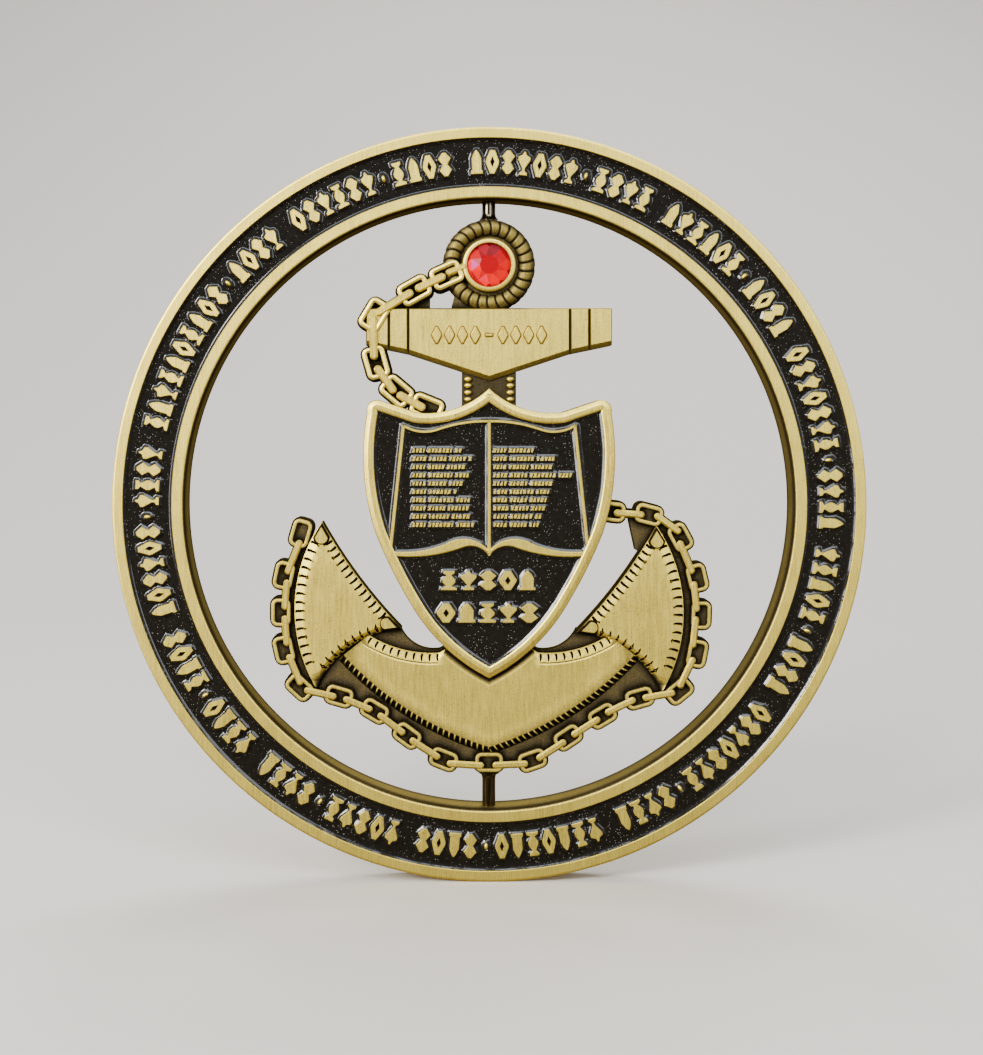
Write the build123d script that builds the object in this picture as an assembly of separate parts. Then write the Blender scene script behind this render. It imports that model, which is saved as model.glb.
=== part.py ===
from build123d import *
import math
import os

os.makedirs("parts", exist_ok=True)

# Spinner challenge coin: an anchor with a shield turns on two pins inside a flat ring.
# Everything is in millimetres. The coin stands on edge in the XZ plane, its front faces -Y,
# +Z is up and the origin is the coin's centre, on the pins' axis.
# Reliefs are drawn flat: x across, y up, z out of the mid-plane towards the viewer.

# ---- ring ----
COIN_DIAMETER = 76.2
COIN_THICKNESS = 4.0
RIM_WIDTH = 1.1
INNER_RIM_WIDTH = 1.27
HOLE_DIAMETER = 61.6
CHANNEL_DEPTH = 0.6
ENAMEL_BELOW_RIM = 0.15
RIM_CHAMFER = 0.2

COIN_RADIUS = COIN_DIAMETER / 2
HOLE_RADIUS = HOLE_DIAMETER / 2
FACE = COIN_THICKNESS / 2
CHANNEL_OUTER = COIN_RADIUS - RIM_WIDTH
CHANNEL_INNER = HOLE_RADIUS + INNER_RIM_WIDTH

# ---- pins ----
PIN_RADIUS = 0.675
PIN_CLEARANCE = 0.05
PIN_IN_RING = 1.9
SOCKET_DEPTH = 2.2
SOCKET_START = 20.0
UPPER_PIN_ROOT = 27.3
LOWER_PIN_ROOT = -24.6
SOLDER_RADIUS = 1.0
SOLDER_LENGTH = 0.6
UPPER_SOLDER_AT = 28.95
LOWER_SOLDER_AT = -27.45

# ---- heights of the anchor's relief above the mid-plane ----
WEB = 0.8
ARM_TOP = 1.25
FLUKE_TOP = 1.5
CROSSBAR_TOP = 1.5
SHANK_TOP = 1.15
SEAT_TOP = 1.2
ROPE_TOP = 1.5
BEZEL_TOP = 1.6
CRYSTAL_SEAT = 1.0
CRYSTAL_TOP = 1.9
RELIEF_BEVEL = 0.25
SHIELD_POCKET_DEPTH = 2.0

# ---- rope ring and crystal ----
ROPE_CENTRE = 24.2
ROPE_OUTER = 4.7
ROPE_INNER = 2.95
BEZEL_OUTER = 2.73
START_BAR = (2.3, 0.66)
START_BAR_TOP = 1.75
START_BAR_AT = (-3.3, 23.75)
START_BAR_TURN = 22
CRYSTAL_RADIUS = 2.2
CRYSTAL_TABLE_RADIUS = 1.25
CRYSTAL_GIRDLE = 0.3

# ---- crossbar and shank ----
CROSSBAR_HALF_LENGTH = 12.5
CROSSBAR_TOP_EDGE = 19.85
CROSSBAR_END_EDGE = 16.1
CROSSBAR_KNEE = (8.2, 15.2)
CROSSBAR_APEX = 12.5
SHANK_HALF_WIDTH = 2.75
SHANK_MIDDLE = 9.0
SHANK_LENGTH = 9.0

# ---- shield plate ----
SHIELD_BORDER = 1.08
SHIELD_SEAT_INSET = 0.6
SHIELD_FLOOR = 1.5
SHIELD_ENAMEL = 1.78
SHIELD_TOP = 1.95
BOOK_LINE = 0.4
BOOK_TOP = 1.88

# ---- chains: centres of the links, an open link first, then every second one on edge ----
# A link is its length, width and wire; a bar is its share of the span between its neighbours and its
# width; the heights are those of the open links and of the bars.
LOWER_LINK = (2.9, 2.05, 0.46)
LOWER_BAR = (0.82, 0.68)
LOWER_HEIGHTS = (1.35, 1.5)
UPPER_LINK = (3.4, 2.45, 0.62)
UPPER_BAR = (0.94, 0.82)
UPPER_HEIGHTS = (1.7, 1.85)
LINK_CORNER = 0.7
WEB_MARGIN = 0.15

LOWER_CHAIN = [
    (-19.1, -3.0), (-19.8, -5.4), (-20.8, -7.25), (-20.6, -9.2), (-21.1, -11.0), (-20.6, -12.85),
    (-20.8, -14.8), (-19.7, -16.8), (-19.2, -18.6), (-17.1, -19.2), (-15.2, -19.5), (-13.3, -20.3),
    (-11.6, -21.0), (-9.9, -22.3), (-8.3, -23.5), (-6.5, -24.8), (-4.6, -25.9), (-2.4, -26.4),
    (0.0, -26.2), (2.15, -26.4), (4.4, -26.0), (6.3, -24.95), (8.0, -23.7), (9.8, -22.6),
    (11.5, -21.5), (13.3, -20.5), (15.25, -19.7), (17.2, -19.4), (19.3, -19.0), (20.0, -17.1),
    (21.1, -15.2), (20.8, -13.0), (21.5, -11.3), (20.9, -9.4), (21.1, -7.5), (19.95, -5.4),
    (19.4, -3.4), (18.1, -2.0), (16.2, -1.1), (14.2, -1.0), (12.4, -0.8),
]
UPPER_CHAIN = [
    (-4.3, 23.15), (-5.95, 22.4), (-7.55, 21.6), (-9.6, 20.35), (-11.6, 19.1), (-11.7, 16.85),
    (-11.45, 14.3), (-10.5, 12.6), (-9.35, 11.4), (-7.9, 10.4), (-6.3, 9.75),
]

FLUKE_SHIFTS = ((-1, 0.0), (1, -0.4))

# ---- pieces of ground that join the chains to the crossbar, the rope ring and the right fluke ----
GROUND_PATCHES = (
    ((-9.8, 19.6), (-6.0, 19.6), (-6.0, 21.8), (-9.4, 20.8)),
    ((-3.9, 19.6), (-1.5, 19.6), (-3.3, 22.0)),
    ((14.9, -4.7), (16.0, -5.2), (19.5, -5.5), (19.0, -2.0), (14.2, -1.5)),
)


def upright(shape):
    """Stand a relief drawn flat up in the XZ plane, facing the front."""
    return Rot(X=90) * shape


def both_sides(half):
    """Face inside a half outline on the right and its mirror image on the left."""
    return make_face(half + mirror(half, Plane.YZ))


def shield_outline():
    half = ThreePointArc((0, 11.73), (3.3, 9.72), (7.4, 9.28))
    half += Line((7.4, 9.28), (10.9, 10.45))
    half += ThreePointArc((10.9, 10.45), (12.0, 10.3), (12.35, 9.2))
    half += ThreePointArc((12.35, 9.2), (12.72, 4.0), (11.5, -2.9))
    half += ThreePointArc((11.5, -2.9), (9.85, -6.6), (7.9, -10.15))
    half += ThreePointArc((7.9, -10.15), (4.05, -14.85), (0, -17.6))
    return both_sides(half)


def fluke_outline(side, lift):
    """One fluke palm: tip at the top, barb towards the shield, point at the bottom."""
    tip, barb, point = (16.95, -1.8), (8.85, -12.65), (17.5, -18.7)
    outline = ThreePointArc(tip, (19.7, -11.0), point)
    outline += ThreePointArc(point, (14.1, -14.5), barb)
    outline += ThreePointArc(barb, (12.95, -7.9), tip)
    face = Pos(0, lift) * make_face(outline)
    return face if side > 0 else mirror(face, Plane.YZ)


def arm_outline():
    """Both arms and the crown between the flukes."""
    half = ThreePointArc((0, -24.6), (8.8, -20.4), (14.7, -15.3))
    half += Line((14.7, -15.3), (12.2, -13.3))
    half += ThreePointArc((12.2, -13.3), (9.0, -14.7), (5.0, -15.1))
    half += Line((5.0, -15.1), (0, -12.0))
    return both_sides(half)


def base_outline():
    """Dark ground below the arms, out to the chain."""
    half = Polyline((0, -26.2), (4.6, -26.0), (8.2, -23.6), (11.6, -21.2), (15.2, -19.6), (17.4, -19.0))
    half += Polyline((17.4, -19.0), (17.2, -16.5), (13.5, -12.2), (8.9, -12.75))
    half += ThreePointArc((8.9, -12.75), (7.7, -14.2), (5.0, -14.8))
    half += Line((5.0, -14.8), (0, -12.0))
    return both_sides(half)


def flank_outline(points):
    """Ground between a fluke's outer side and the chain that runs beside it."""
    inner = math.copysign(16.5, points[0][0])
    return make_face(Polyline(*points, (inner, -16.0), (inner, -5.0), close=True))


def gusset_outline(reach):
    """Small web that carries the lower pin below the lowest link."""
    return make_face(Polyline((-1.6, -26.2), (-0.95, reach), (0.95, reach), (1.6, -26.2), close=True))


def crossbar_outline():
    corner = (CROSSBAR_HALF_LENGTH, CROSSBAR_TOP_EDGE)
    end = (CROSSBAR_HALF_LENGTH, CROSSBAR_END_EDGE)
    return both_sides(Polyline((0, CROSSBAR_TOP_EDGE), corner, end, CROSSBAR_KNEE, (0, CROSSBAR_APEX)))


def shank_outline():
    return Pos(0, SHANK_MIDDLE) * Rectangle(2 * SHANK_HALF_WIDTH, SHANK_LENGTH)


def links(chain, link, bar, margin=0.0):
    """Outlines of a chain's links: open ones as (outer, hole), links on edge as (bar, None)."""
    outlines = []
    for i, (x, y) in enumerate(chain):
        before = chain[max(i - 1, 0)]
        after = chain[min(i + 1, len(chain) - 1)]
        across, up = after[0] - before[0], after[1] - before[1]
        place = Pos(x, y) * Rot(Z=math.degrees(math.atan2(up, across)))
        if i % 2:
            length = bar[0] * math.hypot(across, up)
            outlines.append((place * SlotOverall(length + 2 * margin, bar[1] + 2 * margin), None))
            continue
        length, width, wire = link
        corner = LINK_CORNER + margin
        outer = place * RectangleRounded(length + 2 * margin, width + 2 * margin, corner)
        hole = place * RectangleRounded(length - 2 * wire, width - 2 * wire, 0.25)
        outlines.append((outer, hole))
    return outlines


def chain_relief(chain, link, bar, heights):
    """Solids of a chain: rings standing on the web, with the links on edge a little higher."""
    solids = []
    for outer, hole in links(chain, link, bar):
        if hole is None:
            solids.append(extrude(outer, heights[1]))
        else:
            solids.append(extrude(outer, heights[0]) - Pos(0, 0, WEB) * extrude(hole, heights[0]))
    return solids


def web_outline():
    """Silhouette of the anchor casting."""
    faces = [outer for outer, _ in links(LOWER_CHAIN, LOWER_LINK, LOWER_BAR, WEB_MARGIN)]
    faces += [outer for outer, _ in links(UPPER_CHAIN, UPPER_LINK, UPPER_BAR, WEB_MARGIN)]
    faces += [fluke_outline(side, lift) for side, lift in FLUKE_SHIFTS]
    faces += [flank_outline(LOWER_CHAIN[:9]), flank_outline(LOWER_CHAIN[-4:-14:-1])]
    faces += [arm_outline(), base_outline(), gusset_outline(LOWER_SOLDER_AT), crossbar_outline()]
    faces += [Pos(0, ROPE_CENTRE) * Circle(ROPE_OUTER), shank_outline()]
    faces += [offset(shield_outline(), -SHIELD_SEAT_INSET)]
    faces += [make_face(Polyline(*corners, close=True)) for corners in GROUND_PATCHES]
    return faces


def rope_ring():
    """Upper half of the rope ring: a round tube lying on the web."""
    tube = (ROPE_OUTER - ROPE_INNER) / 2
    middle = (ROPE_OUTER + ROPE_INNER) / 2
    base = ROPE_TOP - tube
    torus = Pos(0, ROPE_CENTRE, base) * Torus(middle, tube)
    return torus & Pos(0, ROPE_CENTRE, ROPE_TOP / 2) * Cylinder(ROPE_OUTER + 1, ROPE_TOP)


def setting():
    """Wall that holds the crystal, and the short bar that the upper chain starts from."""
    bezel = Pos(0, ROPE_CENTRE) * extrude(Circle(BEZEL_OUTER), BEZEL_TOP)
    bar = Pos(*START_BAR_AT) * Rot(Z=START_BAR_TURN) * SlotOverall(*START_BAR)
    return bezel + extrude(bar, START_BAR_TOP)


def bevelled(outline, top):
    """Solid on an outline with its top edge chamfered."""
    block = extrude(outline, top)
    return chamfer(block.faces().sort_by(Axis.Z)[-1].edges(), RELIEF_BEVEL)


def anchor_half():
    """Front half of the anchor casting, from the mid-plane outwards."""
    half = extrude(Sketch() + web_outline(), WEB)
    half += bevelled(arm_outline(), ARM_TOP)
    half += [bevelled(fluke_outline(side, lift), FLUKE_TOP) for side, lift in FLUKE_SHIFTS]
    half += bevelled(crossbar_outline(), CROSSBAR_TOP)
    half += extrude(shank_outline(), SHANK_TOP)
    half += extrude(offset(shield_outline(), -SHIELD_SEAT_INSET), SEAT_TOP)
    half += rope_ring()
    half += setting()
    half += chain_relief(LOWER_CHAIN, LOWER_LINK, LOWER_BAR, LOWER_HEIGHTS)
    half += chain_relief(UPPER_CHAIN, UPPER_LINK, UPPER_BAR, UPPER_HEIGHTS)
    half -= Pos(0, 0, SEAT_TOP) * extrude(shield_outline(), SHIELD_POCKET_DEPTH)
    half -= Pos(0, ROPE_CENTRE, CRYSTAL_SEAT) * extrude(Circle(CRYSTAL_RADIUS), CRYSTAL_TOP)
    return half


def crystal():
    """Round stone with a flat back, a short girdle and a bevelled crown."""
    girdle = Pos(0, 0, CRYSTAL_SEAT) * extrude(Circle(CRYSTAL_RADIUS), CRYSTAL_GIRDLE)
    crown_base = CRYSTAL_SEAT + CRYSTAL_GIRDLE
    crown_height = CRYSTAL_TOP - crown_base
    crown = Cone(CRYSTAL_RADIUS, CRYSTAL_TABLE_RADIUS, crown_height)
    crown = Pos(0, 0, crown_base + crown_height / 2) * crown
    return Pos(0, ROPE_CENTRE) * (girdle + crown)


def book_lines():
    """Raised outline of the open book on the shield, as flat strips."""
    half = BOOK_LINE / 2
    page_side = Polyline((8.7 - half, 8.1), (8.7 + half, 8.1), (10.05, -5.1), (9.6, -5.1), close=True)
    top = ThreePointArc((0, 8.3), (4.2, 8.2), (8.9, 8.2))
    top += Line((8.9, 8.2), (8.9, 7.8))
    top += ThreePointArc((8.9, 7.8), (4.2, 7.8), (0, 7.9))
    top += Line((0, 7.9), (0, 8.3))
    bottom = ThreePointArc((9.9, -4.75), (5.5, -4.65), (2.5, -3.5))
    bottom += ThreePointArc((2.5, -3.5), (0.9, -3.75), (0, -4.7))
    bottom += Line((0, -4.7), (0, -5.2))
    bottom += ThreePointArc((0, -5.2), (1.1, -4.35), (2.5, -4.25))
    bottom += ThreePointArc((2.5, -4.25), (5.7, -5.2), (9.9, -5.2))
    bottom += Line((9.9, -5.2), (9.9, -4.75))
    right = [make_face(page_side), make_face(top), make_face(bottom)]
    spine = Pos(0, 1.6) * Rectangle(BOOK_LINE, 13.0)
    return [spine] + right + [mirror(face, Plane.YZ) for face in right]


def shield_plate():
    """Shield with a raised border round a recess, and the book standing in the recess."""
    inner = offset(shield_outline(), -SHIELD_BORDER, kind=Kind.INTERSECTION)
    plate = Pos(0, 0, SEAT_TOP) * extrude(shield_outline(), SHIELD_TOP - SEAT_TOP)
    plate -= Pos(0, 0, SHIELD_FLOOR) * extrude(inner, 1.0)
    book = Sketch() + book_lines()
    plate += Pos(0, 0, SHIELD_FLOOR - 0.1) * extrude(book & inner, BOOK_TOP - SHIELD_FLOOR + 0.1)
    return plate


def shield_enamel():
    """Black enamel filling the recess between the border and the book."""
    inner = offset(shield_outline(), -SHIELD_BORDER, kind=Kind.INTERSECTION)
    field = inner - (Sketch() + book_lines())
    return Pos(0, 0, SHIELD_FLOOR) * extrude(field, SHIELD_ENAMEL - SHIELD_FLOOR)


def ring_channel(floor, top):
    """Annular solid of one face's channel between two heights above the mid-plane."""
    band = Circle(CHANNEL_OUTER) - Circle(CHANNEL_INNER)
    return Pos(0, 0, floor) * extrude(band, top - floor)


def ring_casting():
    """Flat ring with a channel on both faces and a blind socket for each pin."""
    ring = extrude(Circle(COIN_RADIUS) - Circle(HOLE_RADIUS), FACE, both=True)
    ring = chamfer(ring.edges().filter_by(GeomType.CIRCLE), RIM_CHAMFER)
    channel = ring_channel(FACE - CHANNEL_DEPTH, FACE + 1)
    ring -= channel
    ring -= mirror(channel, Plane.XY)
    ring = upright(ring)
    reach = HOLE_RADIUS + SOCKET_DEPTH
    for side in (1, -1):
        socket = Cylinder(PIN_RADIUS + PIN_CLEARANCE, reach - SOCKET_START)
        ring -= Pos(0, 0, side * (reach + SOCKET_START) / 2) * socket
    return ring


def pin(root, tip, solder_at):
    """Pin wire with the solder fillet that holds it in the anchor."""
    wire = Pos(0, 0, (root + tip) / 2) * Cylinder(PIN_RADIUS, abs(tip - root))
    outward = 1 if tip > root else -1
    fillet = Cone(SOLDER_RADIUS, PIN_RADIUS, SOLDER_LENGTH)
    if outward < 0:
        fillet = Rot(X=180) * fillet
    return wire + Pos(0, 0, solder_at + outward * SOLDER_LENGTH / 2) * fillet


def write(node, shape):
    export_step(shape, f"parts/{node}.step")


def write_front_and_back(name, detail, flat):
    """Write a relief's front node and its mirror image on the back."""
    front = upright(flat)
    write(f"{name}_front_{detail}", front)
    write(f"{name}_back_{detail}", mirror(front, Plane.XZ))


upper_pin = pin(UPPER_PIN_ROOT, HOLE_RADIUS + PIN_IN_RING, UPPER_SOLDER_AT)
lower_pin = pin(LOWER_PIN_ROOT, -HOLE_RADIUS - PIN_IN_RING, LOWER_SOLDER_AT)
write("upper_pin", upper_pin)
write("lower_pin", lower_pin)

write("ring_casting", ring_casting())
write_front_and_back("ring", "enamel", ring_channel(FACE - CHANNEL_DEPTH, FACE - ENAMEL_BELOW_RIM))

# The anchor's half is still lying flat here, so the pins are laid down to cut their grooves in it.
anchor = anchor_half()
for wire in (upper_pin, lower_pin):
    anchor -= Rot(X=-90) * wire
write_front_and_back("anchor", "casting", anchor)

write_front_and_back("shield", "plate", shield_plate())
write_front_and_back("shield", "enamel", shield_enamel())
stone = crystal()
write("crystal_front", upright(stone))
write("crystal_back", mirror(upright(stone), Plane.XZ))
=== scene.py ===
import math

import bpy
import numpy as np
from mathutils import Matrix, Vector, kdtree
from mathutils.geometry import delaunay_2d_cdt


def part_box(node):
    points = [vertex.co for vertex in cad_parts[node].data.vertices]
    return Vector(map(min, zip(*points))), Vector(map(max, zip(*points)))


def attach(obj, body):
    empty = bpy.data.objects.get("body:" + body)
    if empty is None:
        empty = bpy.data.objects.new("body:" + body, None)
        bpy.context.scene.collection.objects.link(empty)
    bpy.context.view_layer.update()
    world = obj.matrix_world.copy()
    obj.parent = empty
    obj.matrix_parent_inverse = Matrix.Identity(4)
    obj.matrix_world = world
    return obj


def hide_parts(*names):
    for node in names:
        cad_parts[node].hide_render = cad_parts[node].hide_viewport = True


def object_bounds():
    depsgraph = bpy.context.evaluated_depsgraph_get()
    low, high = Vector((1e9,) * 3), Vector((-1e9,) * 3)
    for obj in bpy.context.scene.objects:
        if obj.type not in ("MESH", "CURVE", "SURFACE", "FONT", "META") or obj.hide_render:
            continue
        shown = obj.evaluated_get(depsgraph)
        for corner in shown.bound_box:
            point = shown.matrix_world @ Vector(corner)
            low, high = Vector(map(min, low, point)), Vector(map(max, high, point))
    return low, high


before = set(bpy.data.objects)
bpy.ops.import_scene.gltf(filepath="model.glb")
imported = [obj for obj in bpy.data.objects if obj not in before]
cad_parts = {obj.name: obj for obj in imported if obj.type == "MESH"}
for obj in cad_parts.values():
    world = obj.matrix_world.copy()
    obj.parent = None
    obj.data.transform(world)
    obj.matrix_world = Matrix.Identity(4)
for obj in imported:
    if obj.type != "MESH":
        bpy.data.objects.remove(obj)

# The coin's finished surfaces, built round the imported frame. A relief is drawn flat, in millimetres:
# x across, y up and a height above the coin's mid-plane. It is then stood up in the XZ plane, facing
# -Y for the front and +Y for the back. Each point also carries a wear value: 1 where the plating is rubbed
# bright, 0 where the dark patina lies. The same value also carries painted shade (darker at the foot of
# walls, the shield's shadow on the arms, the flukes' lower rims) and, on the crystal, each facet's painted
# light.

MM = 0.001
CAD_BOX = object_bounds()


def size_mm(node, axis):
    """Half of a CAD node's extent along an axis, in millimetres."""
    low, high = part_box(node)
    return (high[axis] - low[axis]) / 2 / MM


def top_mm(node):
    """Height of a front CAD node's outermost face above the mid-plane, in millimetres."""
    return -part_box(node)[0].y / MM


# ---- sizes taken from the frame ----
COIN_RADIUS = size_mm("ring_casting", 0)
FACE = size_mm("ring_casting", 1)
CHANNEL_OUTER = size_mm("ring_front_enamel", 0)
SHIELD_TOP = top_mm("shield_front_plate")
SHIELD_SEAT = -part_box("shield_front_plate")[1].y / MM
CRYSTAL_RADIUS = size_mm("crystal_front", 0)
CRYSTAL_SEAT = -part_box("crystal_front")[1].y / MM
CRYSTAL_TOP = top_mm("crystal_front")
ROPE_CENTRE = (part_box("crystal_front")[0].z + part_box("crystal_front")[1].z) / 2 / MM

# ---- ring ----
HOLE_RADIUS = 30.8
CHANNEL_INNER = 32.07
CHANNEL_FLOOR = 1.4
ENAMEL_LEVEL = 1.56
MARK_TOP = 1.95
MARK_MIDDLE = 34.56
MARK_HALF_HEIGHT = 1.21
MARK_HALF_WIDTH = 0.67
MARK_CELLS = 136
GROUP_LEAD = 4
GROUP_TAILS = (7, 6, 7, 5, 7, 7, 5, 4, 6, 10, 6)
FIRST_DOT = -18.0
DOT_HALVES = (0.26, 0.46)
RING_CLIMB = 0.18

# ---- heights of the anchor's relief ----
WEB = 0.8
FOOT = WEB - 0.1  # where every piece of relief starts, just inside the web
ARM_TOP = 1.25
FLUKE_TOP = 1.5
CROSSBAR_TOP = 1.5
SHANK_TOP = 1.15
SEAT_TOP = 1.2
SEAT_INSET = 0.6
GROUND_WEAR = 0.34
ROPE_TOP = 1.5
BEZEL_TOP = 1.65

# ---- shield ----
SHIELD_BORDER = 1.08
SHIELD_FLOOR = 1.5
SHIELD_ENAMEL = 1.6
BOOK_TOP = 1.88
SHIELD_CLIMB = 0.16
FIRST_ROW = 5.42
ROW_PITCH = 0.834
MOTTO_ROWS = ((-7.72, -5.05, 4.85), (-11.0, -5.4, 5.1))

# ---- pins ----
PIN_RADIUS = 0.675
SOLDER_AT = {"upper_pin": 28.95, "lower_pin": -27.45}
SOLDER_STEPS = ((0.0, 0.98), (0.12, 0.86), (0.3, 0.74), (0.6, PIN_RADIUS))

SMOOTH_ANGLE = math.radians(38)
COIN_SIDES = (("front", False), ("back", True))


# ==== Outlines ====

def arc(a, b, c, step=0.25):
    """Points on the circular arc from a through b to c, without c itself."""
    (ax, ay), (bx, by), (cx, cy) = a, b, c
    d = 2 * (ax * (by - cy) + bx * (cy - ay) + cx * (ay - by))
    ux = ((ax**2 + ay**2) * (by - cy) + (bx**2 + by**2) * (cy - ay) + (cx**2 + cy**2) * (ay - by)) / d
    uy = ((ax**2 + ay**2) * (cx - bx) + (bx**2 + by**2) * (ax - cx) + (cx**2 + cy**2) * (bx - ax)) / d
    start = math.atan2(ay - uy, ax - ux)
    turn = (math.atan2(cy - uy, cx - ux) - start) % (2 * math.pi)
    if (math.atan2(by - uy, bx - ux) - start) % (2 * math.pi) > turn:
        turn -= 2 * math.pi
    radius = math.hypot(ax - ux, ay - uy)
    count = max(2, math.ceil(abs(turn) * radius / step))
    angles = start + turn * np.arange(count) / count
    return np.column_stack([ux + radius * np.cos(angles), uy + radius * np.sin(angles)])


def line(a, b, step=0.6):
    """Points on the line from a to b, without b itself."""
    a, b = np.array(a, float), np.array(b, float)
    count = max(1, math.ceil(np.linalg.norm(b - a) / step))
    return a + (b - a) * (np.arange(count) / count)[:, None]


def trace(start, *moves):
    """Points along a path. Each move is the end of a line, or the middle and end of an arc."""
    parts = []
    for move in moves:
        if isinstance(move[0], tuple):
            parts.append(arc(start, *move))
            start = move[1]
        else:
            parts.append(line(start, move))
            start = move
    return np.vstack([*parts, [start]])


def ccw(outline):
    """The closed outline, running anticlockwise."""
    x, y = outline.T
    area = np.sum(x * np.roll(y, -1) - np.roll(x, -1) * y)
    return outline if area > 0 else outline[::-1]


def both_sides(half):
    """A closed outline from its right half, which starts on the y axis and ends on it."""
    left = half[::-1] * (-1, 1)
    keep = np.abs(left[:, 0]) > 1e-9
    return ccw(np.vstack([half, left[keep]]))


def rounded_box(length, width, corner, steps=5):
    """A closed rectangle with round corners about the origin."""
    angles = np.linspace(0, math.pi / 2, steps)
    x, y = length / 2 - corner, width / 2 - corner
    points = []
    for quarter, (sx, sy) in enumerate(((1, 1), (-1, 1), (-1, -1), (1, -1))):
        turned = angles + quarter * math.pi / 2
        points.append(np.column_stack([sx * x + corner * np.cos(turned), sy * y + corner * np.sin(turned)]))
    return np.vstack(points)


def placed(outline, x, y, turn):
    """The outline turned by an angle in radians and moved to x, y."""
    c, s = math.cos(turn), math.sin(turn)
    return outline @ np.array([[c, s], [-s, c]]) + (x, y)


def circle(radius, count, centre=(0.0, 0.0)):
    """Points round a circle, anticlockwise from the right."""
    angles = 2 * math.pi * np.arange(count) / count
    return np.column_stack([np.cos(angles), np.sin(angles)]) * radius + centre


def normals(path, closed):
    """Unit normals on the left of a path, scaled at its corners so that an offset keeps its width."""
    after = np.roll(path, -1, 0) - path
    before = path - np.roll(path, 1, 0)
    if not closed:
        after[-1], before[0] = before[-1], after[0]
    sides = []
    for edge in (before, after):
        edge = edge / np.maximum(np.linalg.norm(edge, axis=1), 1e-12)[:, None]
        sides.append(np.column_stack([-edge[:, 1], edge[:, 0]]))
    both = sides[0] + sides[1]
    share = 1 + np.sum(sides[0] * sides[1], axis=1)
    return both / np.maximum(share, 0.05)[:, None]


def distance_to(outline, points, closed=True):
    """Distance from each point to the nearest edge of an outline."""
    a = outline if closed else outline[:-1]
    b = np.roll(outline, -1, 0) if closed else outline[1:]
    edge = b - a
    along = np.einsum("pnk,nk->pn", points[:, None] - a, edge) / np.maximum(np.sum(edge**2, 1), 1e-12)
    foot = a + np.clip(along, 0, 1)[..., None] * edge
    return np.min(np.linalg.norm(points[:, None] - foot, axis=2), axis=1)


def contour(outline, depth):
    """The line at a given depth inside a closed outline, without the loops that sharp corners make."""
    moved = outline + normals(outline, True) * depth
    return moved[distance_to(outline, moved) > 0.97 * depth]


def inside(outline, points):
    """Which points lie inside a closed outline."""
    x, y = points.T
    hits = np.zeros(len(points), bool)
    for (x0, y0), (x1, y1) in zip(outline, np.roll(outline, -1, 0)):
        if y0 == y1:
            continue
        crosses = (y0 > y) != (y1 > y)
        hits ^= crosses & (x < (x1 - x0) * (y - y0) / (y1 - y0) + x0)
    return hits


def along_path(path, pitch, start, end):
    """Points every pitch along an open path, each with the unit normal on the path's left."""
    lengths = np.concatenate([[0], np.cumsum(np.linalg.norm(np.diff(path, axis=0), axis=1))])
    places = np.arange(start, lengths[-1] - end, pitch)
    points = np.column_stack([np.interp(places, lengths, path[:, k]) for k in (0, 1)])
    left = normals(path, False)
    found = np.column_stack([np.interp(places, lengths, left[:, k]) for k in (0, 1)])
    return points, found / np.linalg.norm(found, axis=1)[:, None]


# ==== Relief meshes ====

class Relief:
    """Points, faces and wear of one piece, drawn flat in millimetres. The wear also carries painted shade and
    light.
    """

    def __init__(self):
        self.points = []
        self.wear_and_painted_light = []
        self.faces = []
        self.count = 0

    def add(self, points, faces, wear_and_painted_light):
        points = np.asarray(points, float)
        wear_and_painted_light = np.broadcast_to(np.asarray(wear_and_painted_light, float), len(points))
        self.points.append(points)
        self.wear_and_painted_light.append(wear_and_painted_light)
        self.faces += [tuple(v + self.count for v in face) for face in faces]
        self.count += len(points)

    def put(self, rows, faces):
        """Add points whose columns are x, y, height and wear (which also carries painted shade)."""
        self.add(rows[:, :3], faces, rows[:, 3])

    def mesh(self, name, back=False):
        points = np.vstack(self.points)
        across, up, height = points.T
        stood = np.column_stack([across, height if back else -height, up]) * MM
        faces = [face[::-1] for face in self.faces] if back else self.faces
        made = bpy.data.meshes.new(name)
        made.from_pydata(stood.tolist(), [], faces)
        # Per-point wear, which also carries painted shade, and the crystal's painted facet light.
        attribute = made.attributes.new("wear_and_painted_light", "FLOAT", "POINT")
        attribute.data.foreach_set("value", np.concatenate(self.wear_and_painted_light).astype(np.float32))
        made.shade_smooth()
        made.set_sharp_from_angle(angle=SMOOTH_ANGLE)
        return made


def strips(count, rows, closed=True):
    """Quads between rows of count points that run the same way, numbered row by row."""
    quads = []
    ends = count if closed else count - 1
    for row in range(rows - 1):
        low, high = row * count, (row + 1) * count
        for i in range(ends):
            j = (i + 1) % count
            quads.append((low + i, low + j, high + j, high + i))
    return quads


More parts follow.
